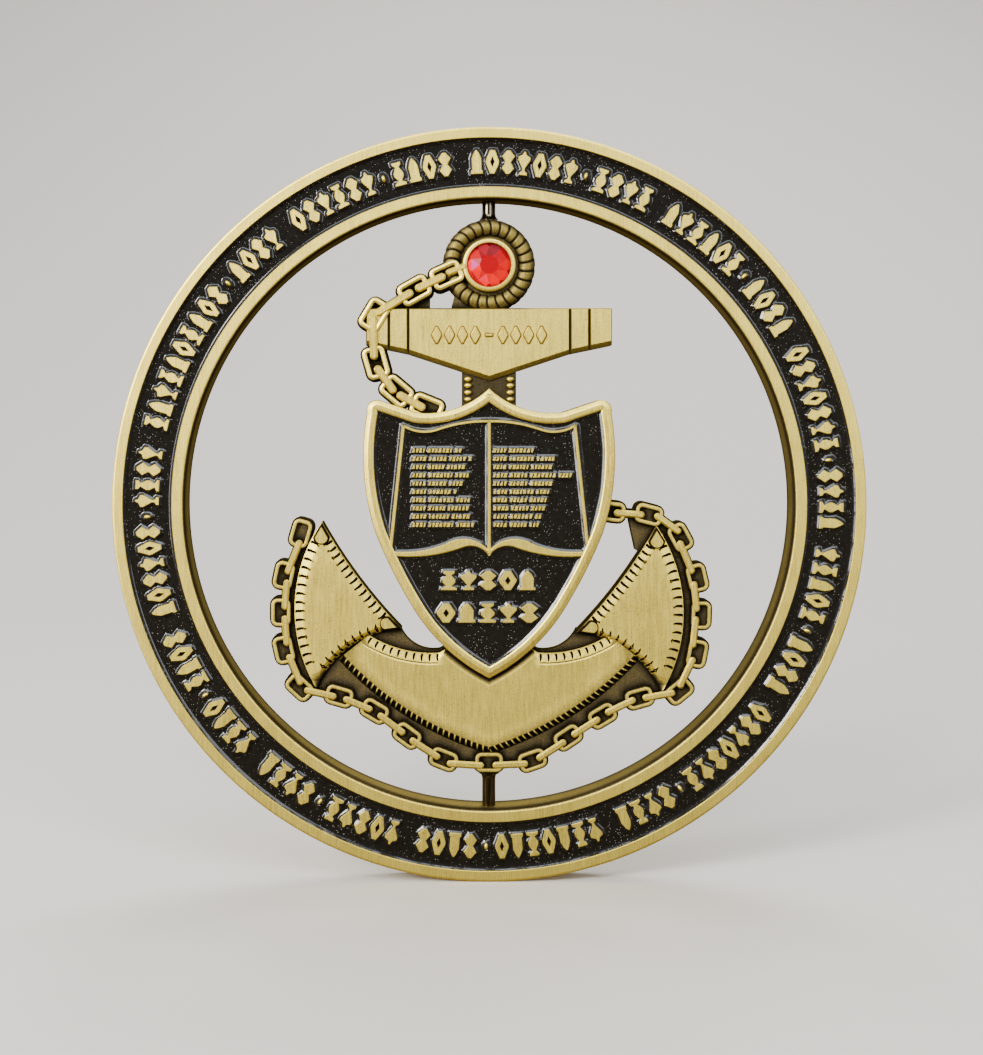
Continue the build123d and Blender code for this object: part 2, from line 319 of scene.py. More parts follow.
def triangulate(loops, extra=(), inner_only=True):
    """Triangles through loops (closed) and extra lines (open). Each is an array of x, y and more columns,
    and the extra columns are carried over to the points of the result. With inner_only, the triangles
    are those inside the first loop."""
    values, edges, start = [], [], 0
    for group, closed in [(loop, True) for loop in loops] + [(path, False) for path in extra]:
        n = len(group)
        values.append(group)
        last = n if closed else n - 1
        edges += [(start + i, start + (i + 1) % n) for i in range(last)]
        start += n
    values = np.vstack(values)
    flat = [Vector(p) for p in values[:, :2].tolist()]
    found = delaunay_2d_cdt(flat, edges, [], 0, 1e-6, True)
    points, triangles, sources = found[0], found[2], found[3]
    result = np.zeros((len(points), values.shape[1]))
    result[:, :2] = [p[:] for p in points]
    for i, source in enumerate(sources):
        if source:
            result[i, 2:] = values[source[-1], 2:]
        else:
            nearest = np.argmin(np.sum((values[:, :2] - result[i, :2]) ** 2, axis=1))
            result[i, 2:] = values[nearest, 2:]
    corners = np.array(triangles)
    if inner_only:
        corners = corners[inside(loops[0][:, :2], result[corners, :2].mean(axis=1))]
    return result, [tuple(t) for t in corners.tolist()]


def level(outline, height, wear_and_painted_light):
    """An outline with its height and wear (with any painted shade) as further columns."""
    return np.column_stack([outline, np.full(len(outline), height), np.full(len(outline), wear_and_painted_light)])


def inset(outline, depths):
    """A closed polygon moved inwards by its own depth along each edge."""
    edges = np.roll(outline, -1, 0) - outline
    ways = edges / np.linalg.norm(edges, axis=1)[:, None]
    starts = outline + np.column_stack([-ways[:, 1], ways[:, 0]]) * np.array(depths)[:, None]
    corners = []
    for i in range(len(outline)):
        (px, py), (ux, uy) = starts[i - 1], ways[i - 1]
        (qx, qy), (vx, vy) = starts[i], ways[i]
        along = ((qx - px) * vy - (qy - py) * vx) / (ux * vy - uy * vx)
        corners.append((px + along * ux, py + along * uy))
    return np.array(corners)


def skirt(relief, *rows):
    """A wall through closed rows of points, from the lowest up."""
    relief.put(np.vstack(rows), strips(len(rows[0]), len(rows)))


def hoop(relief, rows, flip=False):
    """A closed tube through closed rows of points, the last of them joined to the first."""
    count = len(rows[0])
    total = count * len(rows)
    quads = [tuple(v % total for v in quad) for quad in strips(count, len(rows) + 1)]
    relief.put(np.vstack(rows), [quad[::-1] for quad in quads] if flip else quads)


def rod(relief, rows):
    """A solid rod through rows of points that run along it, closed at both ends."""
    n, sides = len(rows[0]), len(rows)
    quads = strips(n, sides, closed=False)
    quads += [(i + 1, i, (sides - 1) * n + i, (sides - 1) * n + i + 1) for i in range(n - 1)]
    first = tuple(k * n for k in range(sides))
    last = tuple(k * n + n - 1 for k in reversed(range(sides)))
    relief.put(np.vstack(rows), [face[::-1] for face in quads + [first, last]])


def slab(relief, outline, base, top, bevel, drop=None, wear_and_painted_light=1.0, edge_wear=0.75, wall_wear=0.2, rings=()):
    """A closed block on an outline: walls, an edge bevelled to a width (0 for none) and a flat top.
    Further rings (loops with height and wear) shape the top."""
    outline = ccw(outline)
    drop = bevel if drop is None else drop
    edge = level(outline, top - drop, edge_wear * wear_and_painted_light)
    loops = [edge]
    if bevel > 0:
        loops.append(level(contour(outline, bevel), top, wear_and_painted_light))
    points, triangles = triangulate(loops + list(rings))
    relief.put(points, triangles)
    skirt(relief, level(outline, base, wall_wear), level(outline, top - drop - 0.02, wall_wear), edge)
    foot, triangles = triangulate([level(outline, base, wall_wear)])
    relief.put(foot, [t[::-1] for t in triangles])


def ring_tube(relief, path, width, base, top, wear_and_painted_light=1.0, sides=10, squareness=0.75):
    """A closed loop of cast wire: a rounded section swept round a closed path."""
    angles = 2 * math.pi * np.arange(sides) / sides + math.pi / sides
    across = np.sign(np.cos(angles)) * np.abs(np.cos(angles)) ** squareness * width / 2
    middle, half = (base + top) / 2, (top - base) / 2
    height = middle + np.sign(np.sin(angles)) * np.abs(np.sin(angles)) ** squareness * half
    left = normals(path, True)
    rows = []
    for a, h in zip(across, height):
        share = np.clip((h - base) / (top - base), 0, 1)
        rows.append(level(path - left * a, h, wear_and_painted_light * share**2.5))
    hoop(relief, rows)


def ridge(relief, path, width, base, top):
    """A raised line: an open path with a rounded top, closed at both ends."""
    section = ((0.5, base, 0.1), (0.48, top - 0.07, 0.7), (0.3, top, 1.0))
    section += tuple((-a, h, w) for a, h, w in section[::-1])
    left = normals(path, False)
    rod(relief, [level(path + left * a * width, h, w) for a, h, w in section])


def lathe(relief, profile, count, centre=(0.0, 0.0)):
    """A closed profile of (radius, height, wear) turned about the line through the centre."""
    hoop(relief, [level(circle(r, count, centre), h, w) for r, h, w in profile])


def bead(relief, x, y, half_x, half_y, base, top, around=16, up=6):
    """A round or oval bead: a squashed dome that stands on the relief."""
    rows = []
    for k in range(up):
        lift = math.pi / 2 * k / up
        ring = circle(math.cos(lift), around) * (half_x, half_y) + (x, y)
        rows.append(level(ring, base + (top - base) * math.sin(lift), 0.1 + 0.9 * math.sin(lift)))
    points = np.vstack(rows + [[(x, y, top, 1.0)], [(x, y, base, 0.0)]])
    peak, foot = len(points) - 2, len(points) - 1
    last = (up - 1) * around
    fan = [(last + i, last + (i + 1) % around, peak) for i in range(around)]
    fan += [((i + 1) % around, i, foot) for i in range(around)]
    relief.put(points, strips(around, up) + fan)


def in_any(outlines, points):
    """Which points lie inside any of the outlines."""
    held = np.zeros(len(points), bool)
    for outline in outlines:
        held |= inside(outline, points)
    return held


def united(relief, outlines, base, top, wear_and_painted_light, wall_wear, walls):
    """One block over the union of many outlines, with painted shade darkening it beside the walls that stand
    on it.
    """
    feet = np.vstack([dense(wall, 0.15) for wall in walls])
    grid = scatter(np.vstack(outlines).min(0), np.vstack(outlines).max(0), 0.32, 21)
    grid = grid[in_any(outlines, grid)]
    loose = [level(point[None], top, wear_and_painted_light) for point in grid[wall_distances(grid, feet) < 2.0]]
    points, triangles = triangulate([level(ccw(o), top, wear_and_painted_light) for o in outlines], loose, inner_only=False)
    gaps = wall_distances(points[:, :2], feet)
    # Painted shade: the ground's wear falls to 15 % of its value at the foot of each wall and recovers within
    # about a millimetre.
    points[:, 3] = wear_and_painted_light * (1 - 0.85 * np.exp(-((gaps / 0.45) ** 2)))
    corners = np.array(triangles)
    faces = corners[in_any(outlines, points[corners, :2].mean(axis=1))]
    edges = {edge: None for a, b, c in faces.tolist() for edge in ((a, b), (b, c), (c, a))}
    rim = [edge for edge in edges if edge[::-1] not in edges]
    n = len(points)
    low = points.copy()
    low[:, 2] = base
    low[:, 3] = wall_wear
    sides = [(b, a, a + n, b + n) for a, b in rim]
    both = np.vstack([points, low])
    floor = [(c + n, b + n, a + n) for a, b, c in faces.tolist()]
    used = np.unique(faces)
    keep = np.concatenate([used, used + n])
    index = np.full(2 * n, -1)
    index[keep] = np.arange(len(keep))
    shown = [tuple(index[list(f)]) for f in faces.tolist() + sides + floor]
    relief.put(both[keep], shown)


# ==== The anchor's outlines, as in the CAD model ====

def shield_outline():
    upper = (((3.3, 9.72), (7.4, 9.28)), (10.9, 10.45), ((12.0, 10.3), (12.35, 9.2)))
    lower = (((12.72, 4.0), (11.5, -2.9)), ((9.85, -6.6), (7.9, -10.15)), ((4.05, -14.85), (0, -17.6)))
    return both_sides(trace((0, 11.73), *upper, *lower))


# Ground that closes the gap between the upper chain and the crossbar but for one small window.
UPPER_GROUND = (
    ((-9.8, 19.6), (-6.0, 19.6), (-6.0, 21.8), (-9.4, 20.8)),
    ((-3.9, 19.6), (-1.5, 19.6), (-3.3, 22.0)),
)
TIP_GROUND = ((14.9, -4.7), (16.0, -5.2), (19.5, -5.5), (19.0, -2.0), (14.2, -1.5))
FLUKE_SHIFTS = ((-1, 0.0), (1, -0.4))
FLUKE_TIP, FLUKE_BARB, FLUKE_POINT = (16.95, -1.8), (8.85, -12.65), (17.5, -18.7)


def fluke_sides(side, lift):
    """The fluke's outer, lower and inner side, in order, each ending where the next one starts."""
    tip, barb, point = FLUKE_TIP, FLUKE_BARB, FLUKE_POINT
    sides = [arc(tip, (19.7, -11.0), point), arc(point, (14.1, -14.5), barb), arc(barb, (12.95, -7.9), tip)]
    ends = (point, barb, tip)
    return [np.vstack([path, [end]]) * (side, 1) + (0, lift) for path, end in zip(sides, ends)]


def fluke_outline(side, lift):
    return ccw(np.vstack([path[:-1] for path in fluke_sides(side, lift)]))


ARM_LOWER = ((0, -24.6), (8.8, -20.4), (14.7, -15.3))
ARM_UPPER = ((12.2, -13.3), (9.0, -14.7), (5.0, -15.1))


def arm_outline():
    return both_sides(trace(ARM_LOWER[0], ARM_LOWER[1:], ARM_UPPER[0], ARM_UPPER[1:], (0, -12.0)))


def base_outline():
    corners = ((4.6, -26.0), (8.2, -23.6), (11.6, -21.2), (15.2, -19.6), (17.4, -19.0), (17.2, -16.5))
    corners += ((13.5, -12.2), (8.9, -12.75))
    return both_sides(trace((0, -26.2), *corners, ((7.7, -14.2), (5.0, -14.8)), (0, -12.0)))


def flank_outline(points):
    """Ground between a fluke's outer side and the chain that runs beside it."""
    inner = math.copysign(16.5, points[0][0])
    return np.array([*points, (inner, -16.0), (inner, -5.0)], float)


LOWER_LINK = (2.9, 2.05, 0.46)
LOWER_BAR = (0.82, 0.68)
LOWER_HEIGHTS = (1.35, 1.5)
UPPER_LINK = (3.4, 2.45, 0.62)
UPPER_BAR = (0.94, 0.82)
UPPER_HEIGHTS = (1.7, 1.85)
LINK_CORNER = 0.7
WEB_MARGIN = 0.15
GUSSET_REACH = -27.45

LOWER_CHAIN = [
    (-19.1, -3.0), (-19.8, -5.4), (-20.8, -7.25), (-20.6, -9.2), (-21.1, -11.0), (-20.6, -12.85),
    (-20.8, -14.8), (-19.7, -16.8), (-19.2, -18.6), (-17.1, -19.2), (-15.2, -19.5), (-13.3, -20.3),
    (-11.6, -21.0), (-9.9, -22.3), (-8.3, -23.5), (-6.5, -24.8), (-4.6, -25.9), (-2.4, -26.4),
    (0.0, -26.2), (2.15, -26.4), (4.4, -26.0), (6.3, -24.95), (8.0, -23.7), (9.8, -22.6),
    (11.5, -21.5), (13.3, -20.5), (15.25, -19.7), (17.2, -19.4), (19.3, -19.0), (20.0, -17.1),
    (21.1, -15.2), (20.8, -13.0), (21.5, -11.3), (20.9, -9.4), (21.1, -7.5), (19.95, -5.4),
    (19.4, -3.4), (18.1, -2.0), (16.2, -1.1), (14.2, -1.0), (12.4, -0.8),
]
UPPER_CHAIN = [
    (-4.3, 23.15), (-5.95, 22.4), (-7.55, 21.6), (-9.6, 20.35), (-11.6, 19.1), (-11.7, 16.85),
    (-11.45, 14.3), (-10.5, 12.6), (-9.35, 11.4), (-7.9, 10.4), (-6.3, 9.75),
]
# Each chain's centres, open link, edge-on link, heights of the two, and the wear of the open ones.
CHAINS = (
    (LOWER_CHAIN, LOWER_LINK, LOWER_BAR, LOWER_HEIGHTS, 0.8),
    (UPPER_CHAIN, UPPER_LINK, UPPER_BAR, UPPER_HEIGHTS, 0.92),
)
ROPE_OUTER, ROPE_INNER = 4.7, 2.95
BEZEL_OUTER = 2.73
SHANK_HALF_WIDTH = 2.75
CROSSBAR_HALF_LENGTH = 12.5
CROSSBAR_TOP_EDGE = 19.85
CROSSBAR_END_EDGE = 16.1
CROSSBAR_KNEE = (8.2, 15.2)
CROSSBAR_APEX = 12.5
CROSSBAR_GROOVES = (8.2, 10.15)
CROSSBAR_BEVEL = 0.46
CROSSBAR_MARK_LINE = 17.1
CROSSBAR_MARK_PLACES = (-5.3, -4.0, -2.7, -1.4, 1.4, 2.7, 4.0, 5.3)


def link_places(chain):
    """Centre and turn of each link of a chain, and the distance between its two neighbours."""
    places = []
    for i, (x, y) in enumerate(chain):
        before, after = chain[max(i - 1, 0)], chain[min(i + 1, len(chain) - 1)]
        across, up = after[0] - before[0], after[1] - before[1]
        places.append(((x, y, math.atan2(up, across)), math.hypot(across, up)))
    return places


def link_outlines(chain, link, bar, margin):
    """Outlines of a chain's links, with a margin round each."""
    outlines = []
    for i, (place, span) in enumerate(link_places(chain)):
        if i % 2:
            length, width = bar[0] * span + 2 * margin, bar[1] + 2 * margin
            outlines.append(placed(rounded_box(length, width, width / 2 - 0.001), *place))
        else:
            length, width = link[0] + 2 * margin, link[1] + 2 * margin
            outlines.append(placed(rounded_box(length, width, LINK_CORNER + margin), *place))
    return outlines


def chain_outlines(margin):
    """Outlines of both chains' links, with a margin round each."""
    return [one for chain, link, bar, *_ in CHAINS for one in link_outlines(chain, link, bar, margin)]


def crossbar_lower(x):
    """Height of the crossbar's lower edge at x."""
    knee, edge = CROSSBAR_KNEE
    return np.interp(abs(x), (0, knee, CROSSBAR_HALF_LENGTH), (CROSSBAR_APEX, edge, CROSSBAR_END_EDGE))


def crossbar_part(x0, x1):
    """Outline of the crossbar between two places along it, from its lower left corner."""
    knee = CROSSBAR_KNEE[0]
    lows = [x0] + [x for x in (-knee, 0.0, knee) if x0 < x < x1] + [x1]
    lower = [(x, crossbar_lower(x)) for x in lows]
    return np.array(lower + [(x1, CROSSBAR_TOP_EDGE), (x0, CROSSBAR_TOP_EDGE)], float)


# ==== The anchor's relief ====

def tick(start, normal, length, width, depth, height_at, bend):
    """A short groove across a rim: its outline on the surface and its lower, dark floor, as two loops."""
    tangent = np.array([normal[1], -normal[0]])

    def loop(from_share, to_share, spread, drop, wear_and_painted_light):
        shares = np.linspace(from_share, to_share, 4)
        into = 0.04 + length * shares
        middle = start + normal * into[:, None] + tangent * (bend * shares * (1 - shares))[:, None]
        half = spread * width / 2 * np.array([1.0, 1.0, 0.85, 0.3])[:, None]
        sides = np.vstack([middle + tangent * half, (middle - tangent * half)[::-1]])
        heights = height_at(np.concatenate([into, into[::-1]])) - drop
        return np.column_stack([sides, heights, np.full(8, wear_and_painted_light)])

    return loop(0, 1, 1.0, 0.0, 0.9), loop(0.08, 0.9, 0.6, depth, 0.0)


# For a fluke's outer, lower and inner side: the rim's width, its drop at the edge, the wear there, the
# pitch of the grooves across it and how far they run past it. The lower side's wear of 0 is painted shade
# on the rim that faces down.
FLUKE_RIMS = ((0.95, 0.25, 0.8, 0.92, 0.1), (0.55, 0.45, 0.0, 0.8, 0.4), (0.95, 0.2, 0.55, 0.76, 0.1))


def fluke(relief, side, lift):
    """A fluke palm: a flat field inside a sloping rim, with stitch-like grooves across the rim."""
    sides = fluke_sides(side, lift)
    outline = fluke_outline(side, lift)
    inward = -side
    shifts = [rim[0] * inward for rim in FLUKE_RIMS]
    field = np.vstack([path + normals(path, False) * shift for path, shift in zip(sides, shifts)])
    edge = level(outline, FLUKE_TOP, 0.8)
    cuts = []
    for path, (width, drop, wear_and_painted_light, pitch, past) in zip(sides, FLUKE_RIMS):
        field = field[distance_to(path, field, closed=False) > 0.97 * width]
        near = distance_to(path, outline, closed=False) < 1e-6
        edge[near, 2] = np.minimum(edge[near, 2], FLUKE_TOP - drop)
        edge[near, 3] = wear_and_painted_light

        def height_at(into, width=width, drop=drop):
            return FLUKE_TOP - drop * np.clip(1 - into / width, 0, 1)

        starts, lefts = along_path(path, pitch, 2.3, 2.1)
        for start, left in zip(starts, lefts):
            cuts += tick(start, left * inward, width + past, 0.3, 0.3, height_at, bend=0.3 * side)
    field = ccw(field)
    flat = scatter(field.min(0), field.max(0), 0.5, 13)
    flat = flat[inside(field, flat) & (distance_to(field, flat) > 0.5)]
    middle = [level(point[None], FLUKE_TOP, 1.0) for point in flat]
    points, triangles = triangulate([edge, level(field, FLUKE_TOP, 1.0)] + cuts, middle)
    relief.put(points, triangles)
    skirt(relief, level(outline, FOOT, 0.05), edge)
    for tip, ends in ((FLUKE_TIP, (0, 2)), (FLUKE_BARB, (2, 1))):
        leaf(relief, np.array(tip) * (side, 1) + (0, lift), [sides[k] for k in ends])


def leaf(relief, tip, paths, length=2.4, top=FLUKE_TOP + 0.22):
    """A leaf-shaped cap over a fluke's tip, between the two sides that meet there."""
    ways = []
    for path in paths:
        near = path[np.argsort(np.linalg.norm(path - tip, axis=1))[6]]
        ways.append((near - tip) / np.linalg.norm(near - tip))
    middle = (ways[0] + ways[1]) / np.linalg.norm(ways[0] + ways[1])
    corners = [tip + middle * 0.12 + way * length * 0.7 for way in ways]
    round_end = arc(tuple(corners[0]), tuple(tip + middle * length), tuple(corners[1]), 0.2)
    outline = np.vstack([[tip + middle * 0.12], round_end, [corners[1]]])
    dark = level(contour(ccw(outline), 0.16), top - 0.12, 0.1)
    slab(relief, outline, WEB, top, bevel=0.24, drop=0.3, edge_wear=0.0, wall_wear=0.0, rings=[dark])


def serrated_slope(relief, path, width, high, low, pitch=0.61):
    """The arms' lower edge: a dark slope down to the ground, crossed by small bright ridges."""
    points, lefts = along_path(path, pitch / 12, 0, 0)
    n = len(points)
    rows = []
    for share in (0.0, 0.2, 0.4, 0.6, 0.8, 1.0):
        phase = np.abs((np.arange(n) / 12 + 0.45 * share**1.5) % 1 - 0.5) * 2
        tooth = np.clip((phase - 0.62) / 0.25, 0, 1) * (share < 0.85)
        fall = np.clip((share - 0.75 * tooth) / (1 - 0.74 * tooth), 0, 1)
        height = high + (low - high) * fall**0.8
        wear_and_painted_light = np.where(share == 0, 0.7, tooth * (1 - share**3))
        place = points + lefts * (width * share)
        rows.append(np.column_stack([place, height, np.broadcast_to(wear_and_painted_light, n)]))
    rows.append(level(points + lefts * width, low - 0.15, 0.0))
    rows.append(level(points, low - 0.15, 0.0))
    rod(relief, rows)


UPPER_RIM = 1.05
UPPER_RIM_DROP = 0.2
# Steps of the arms' field, each a distance, a height and the wear there: inwards from the ticked rim, and
# outwards from the shield. The low wear beside the shield paints the shield's shadow on the arms.
RIM_STEPS = ((-0.12, ARM_TOP - 0.03, 0.7), (-0.02, ARM_TOP - 0.08, 0.4), (0.1, ARM_TOP, 1.0),
             (0.2, ARM_TOP, 1.0))
MOAT_AND_SHADOW_STEPS = ((0.02, ARM_TOP - 0.2, 0.0), (0.3, ARM_TOP - 0.08, 0.1), (0.75, ARM_TOP, 0.85),
              (0.9, ARM_TOP, 1.0))


def arms(relief):
    """Both arms and the crown: a brushed field with a ticked rim above and a dark serrated slope below."""
    upper = np.vstack([arc(*ARM_UPPER), [ARM_UPPER[2]]])

    def height_at(into):
        return ARM_TOP - UPPER_RIM_DROP * np.clip(1 - into / UPPER_RIM, 0, 1)

    cuts = []
    for side in (-1, 1):
        path = upper * (side, 1)
        starts, lefts = along_path(path, 0.77, 0.4, 0.2)
        for start, left in zip(starts, lefts):
            down = left if left[1] < 0 else -left
            cuts += tick(start + down * 0.06, down, 0.8, 0.26, 0.25, height_at, bend=-0.25 * side)
    outline = arm_outline()
    edge = level(outline, ARM_TOP, 0.62)
    near = distance_to(upper, outline, closed=False) < 1e-6
    near |= distance_to(upper * (-1, 1), outline, closed=False) < 1e-6
    edge[near, 2] = ARM_TOP - UPPER_RIM_DROP
    lines = []
    for side in (-1, 1):
        path = upper[1:-1] * (side, 1)
        left = normals(path, False)
        down = np.where(left[:, 1:] < 0, left, -left)
        for gap, height, wear_and_painted_light in RIM_STEPS:
            lines.append(level(path + down * (UPPER_RIM + gap), height, wear_and_painted_light))
    shield = shield_outline()
    outward = -normals(shield, True)
    # A dip round the shield, darkened with the shield's painted shadow.
    for distance, height, wear_and_painted_light in MOAT_AND_SHADOW_STEPS:
        moat_and_shadow = shield + outward * distance
        moat_and_shadow = moat_and_shadow[inside(outline, moat_and_shadow) & (distance_to(outline, moat_and_shadow) > 0.15)]
        moat_and_shadow = moat_and_shadow[np.argsort(moat_and_shadow[:, 0])]
        lines.append(level(moat_and_shadow, height, wear_and_painted_light))
    flat = scatter(outline.min(0), outline.max(0), 0.6, 12)
    flat = flat[inside(outline, flat) & (distance_to(outline, flat) > UPPER_RIM + 0.25)]
    flat = flat[~inside(shield, flat) & (distance_to(shield, flat) > 0.95)]
    lines += [level(point[None], ARM_TOP, 1.0) for point in flat]
    points, triangles = triangulate([edge] + cuts, lines)
    relief.put(points, triangles)
    skirt(relief, level(outline, FOOT, 0.05), edge)
    lower = np.vstack([arc(*ARM_LOWER, step=0.1), [ARM_LOWER[2]]])
    for path in (lower[::-1], lower * (-1, 1)):
        serrated_slope(relief, path, 0.8, ARM_TOP - 0.03, WEB + 0.02)


def chain(relief, centres, link, bar, heights, link_wear):
    """A cast chain: open links as loops of wire, and links seen on edge as rounded bars over their ends."""
    for i, (place, span) in enumerate(link_places(centres)):
        if i % 2:
            outline = placed(rounded_box(bar[0] * span, bar[1], bar[1] / 2 - 0.001, 7), *place)
            slab(relief, outline, FOOT, heights[1], bevel=0.17, drop=0.2, wall_wear=0.05)
            continue
        length, width, wire = link
        middle = rounded_box(length - wire, width - wire, LINK_CORNER - wire / 2, 7)
        ring_tube(relief, placed(middle, *place), wire, FOOT, heights[0], link_wear)


def rope_ring(relief, strands=26, around=520, across=18):
    """The rope ring: a round tube whose strands are parted by curved grooves."""
    tube = (ROPE_OUTER - ROPE_INNER) / 2
    middle = (ROPE_OUTER + ROPE_INNER) / 2
    base = ROPE_TOP - tube
    turn = 2 * math.pi * np.arange(around) / around
    rows = []
    for k in range(across):
        roll = 2 * math.pi * k / across
        phase = strands * turn / (2 * math.pi) + 1.25 * math.sin(roll / 2 + 0.6)
        groove = np.exp(-((((phase % 1) - 0.5) / 0.11) ** 2))
        radius = tube * (1 - 0.14 * groove)
        out = middle + radius * math.cos(roll)
        height = base + radius * math.sin(roll)
        wear_and_painted_light = (1 - 0.95 * groove) * np.clip(0.07 + 0.47 * math.sin(roll), 0, 1)
        rows.append(np.column_stack([out * np.cos(turn), ROPE_CENTRE + out * np.sin(turn), height, wear_and_painted_light]))
    hoop(relief, rows, flip=True)


def bezel(relief):
    """The crystal's setting: a rounded wall round a recess, and the short bar that the chain starts from."""
    first_link = placed(rounded_box(2.3, 0.66, 0.3, 7), -3.3, 23.75, math.radians(22))
    slab(relief, first_link, FOOT, BEZEL_TOP + 0.1, bevel=0.17, drop=0.2, wall_wear=0.05)
    inner = CRYSTAL_RADIUS + 0.01
    profile = ((BEZEL_OUTER, FOOT, 0.0), (BEZEL_OUTER, BEZEL_TOP - 0.25, 0.5))
    profile += ((BEZEL_OUTER - 0.08, BEZEL_TOP - 0.07, 0.9), (BEZEL_OUTER - 0.2, BEZEL_TOP, 1.0))
    profile += ((inner + 0.08, BEZEL_TOP - 0.02, 1.0), (inner, BEZEL_TOP - 0.12, 0.6))
    profile += ((inner, CRYSTAL_SEAT, 0.0), (0.4, CRYSTAL_SEAT, 0.0), (0.4, FOOT, 0.0))
    lathe(relief, profile, 96, (0, ROPE_CENTRE))


def crossbar(relief):
    """The stock: a long middle part and two blocks at each end, parted by narrow V grooves."""
    inner, outer = CROSSBAR_GROOVES
    ends = (-CROSSBAR_HALF_LENGTH, -outer, -inner, inner, outer, CROSSBAR_HALF_LENGTH)
    for x0, x1 in zip(ends, ends[1:]):
        outline = crossbar_part(x0 + 0.04, x1 - 0.04)
        depths = np.array([CROSSBAR_BEVEL] * (len(outline) - 3) + [0.12, 0.14, 0.12])
        bevel = inset(outline, depths)
        flat = level(inset(outline, depths + 0.05), CROSSBAR_TOP, 1.0)
        loops = [level(outline, CROSSBAR_TOP - 0.36, 0.5), level(bevel, CROSSBAR_TOP, 0.62), flat]
        if x0 < 0 < x1:
            for shape in ornament_outlines():
                loops.append(level(shape, CROSSBAR_TOP, 0.5))
                loops.append(level(shape - normals(shape, True) * 0.12, CROSSBAR_TOP, 1.0))
        points, triangles = triangulate(loops)
        relief.put(points, triangles)
        skirt(relief, level(outline, FOOT, 0.1), level(outline, CROSSBAR_TOP - 0.36, 0.3))


def shank(relief):
    """The shank between the stock and the shield, with a column of beads down each edge."""
    outline = rounded_box(2 * SHANK_HALF_WIDTH, 8.0, 0.1)
    slab(relief, placed(outline, 0, 9.5, 0), FOOT, SHANK_TOP - 0.2, bevel=0.1, wear_and_painted_light=0.21, wall_wear=0.1)
    for side in (-1, 1):
        for y in (12.65, 12.0, 11.3, 10.6, 9.95):
            bead(relief, side * 2.15, y, 0.46, 0.3, SHANK_TOP - 0.25, SHANK_TOP + 0.25)


def ornament_outlines():
    """Outlines of the crossbar's marks: four lozenges, a dash and four lozenges."""
    outlines = [placed(rounded_box(0.9, 0.44, 0.2), 0, CROSSBAR_MARK_LINE, 0)]
    for x in CROSSBAR_MARK_PLACES:
        outlines.append(mark_outline(DIAMOND) * (0.56, 0.92) + (x, CROSSBAR_MARK_LINE))
    return [ccw(outline) for outline in outlines]


def ornament(relief):
    """The crossbar's marks, raised a little, with soft edges."""
    base, top = CROSSBAR_TOP - 0.1, CROSSBAR_TOP + 0.2
    for outline in ornament_outlines():
        slab(relief, outline, base, top, bevel=0.17, drop=0.24, edge_wear=0.2, wall_wear=0.1)


# ==== Marks: plain ornaments in place of lettering ====

BALUSTER = ((-0.9, -1), (0.9, -1), (0.9, -0.78), (0.3, -0.6), (0.74, -0.2), (0.74, 0.08), (0.28, 0.56),
            (0.66, 0.76), (0.66, 1))
PAIRED = ((0.25, -1), (0.95, -0.5), (0.4, 0), (0.95, 0.5), (0.25, 1))
LOZENGE = ((0.35, -1), (1.0, -0.12), (1.0, 0.12), (0.35, 1))
ARCH = ((-0.92, -1), (0.92, -1), (0.92, -0.72), (0.72, -0.64), (0.72, 0.3), (0.4, 0.75), (0.1, 1))
CHALICE = ((-0.62, -1), (0.62, -1), (0.62, -0.8), (0.2, -0.62), (0.2, -0.42), (0.9, 0.3), (0.9, 0.55),
           (0.3, 0.72), (0.1, 1))
DIAMOND = ((0.22, -1), (1.0, -0.12), (1.0, 0.12), (0.22, 1))
LOZENGE_SLOT = ((0, -0.5), (0.36, 0), (0, 0.5), (-0.36, 0))
TINY_MARKS = (
    ((-1, -1), (1, -1), (0.55, 1), (-0.55, 1)),
    ((-0.55, -1), (0.55, -1), (1, 1), (-1, 1)),
    ((-1, -1), (1, -1), (1, -0.3), (0.5, 0), (1, 0.3), (1, 1), (-1, 1), (-1, 0.3), (-0.5, 0), (-1, -0.3)),
    ((-0.6, -1), (0.6, -1), (0.6, 1), (-0.6, 1)),
)
MARKS = ((BALUSTER, None), (LOZENGE, LOZENGE_SLOT), (CHALICE, None), (ARCH, None), (PAIRED, None))


def mark_outline(right):
    """A mark's closed outline from the points on its right side, from the bottom up."""
    return np.array([p for p in right if p[0] >= 0] + [(-x, y) for x, y in reversed(right) if x > 0], float)


def mark(relief, shape, x, y, half_width, half_height, base, top):
    """One raised mark with bevelled edges, and its slot if it has one."""
    right, slot = shape
    outline = mark_outline(right) * (half_width, half_height) + (x, y)
    cuts = []
    if slot is not None:
        loop = np.array(slot, float) * (half_width, half_height) + (x, y)
        inner = (np.array(slot, float) * (half_width, half_height)) * 0.55 + (x, y)
        cuts = [level(loop, top, 0.9), level(inner, top - 0.28, 0.0)]
    slab(relief, outline, base, top, bevel=0.055, drop=0.06, wall_wear=0.3, rings=cuts)


def bent(relief, angle):
    """Marks drawn upright about the origin, moved to a place on the ring and bent to its circle."""
    for points in relief.points:
        turn = angle + points[:, 0] / MARK_MIDDLE
        radius = MARK_MIDDLE + points[:, 1]
        points[:, 0] = radius * np.sin(turn)
        points[:, 1] = radius * np.cos(turn)
    return relief


def band_cells():
    """What each cell round the ring holds, clockwise from the dot before the top group."""
    cells = []
    for tail in GROUP_TAILS:
        cells += ["dot"] + ["mark"] * GROUP_LEAD + ["gap"] + ["mark"] * tail
    return cells


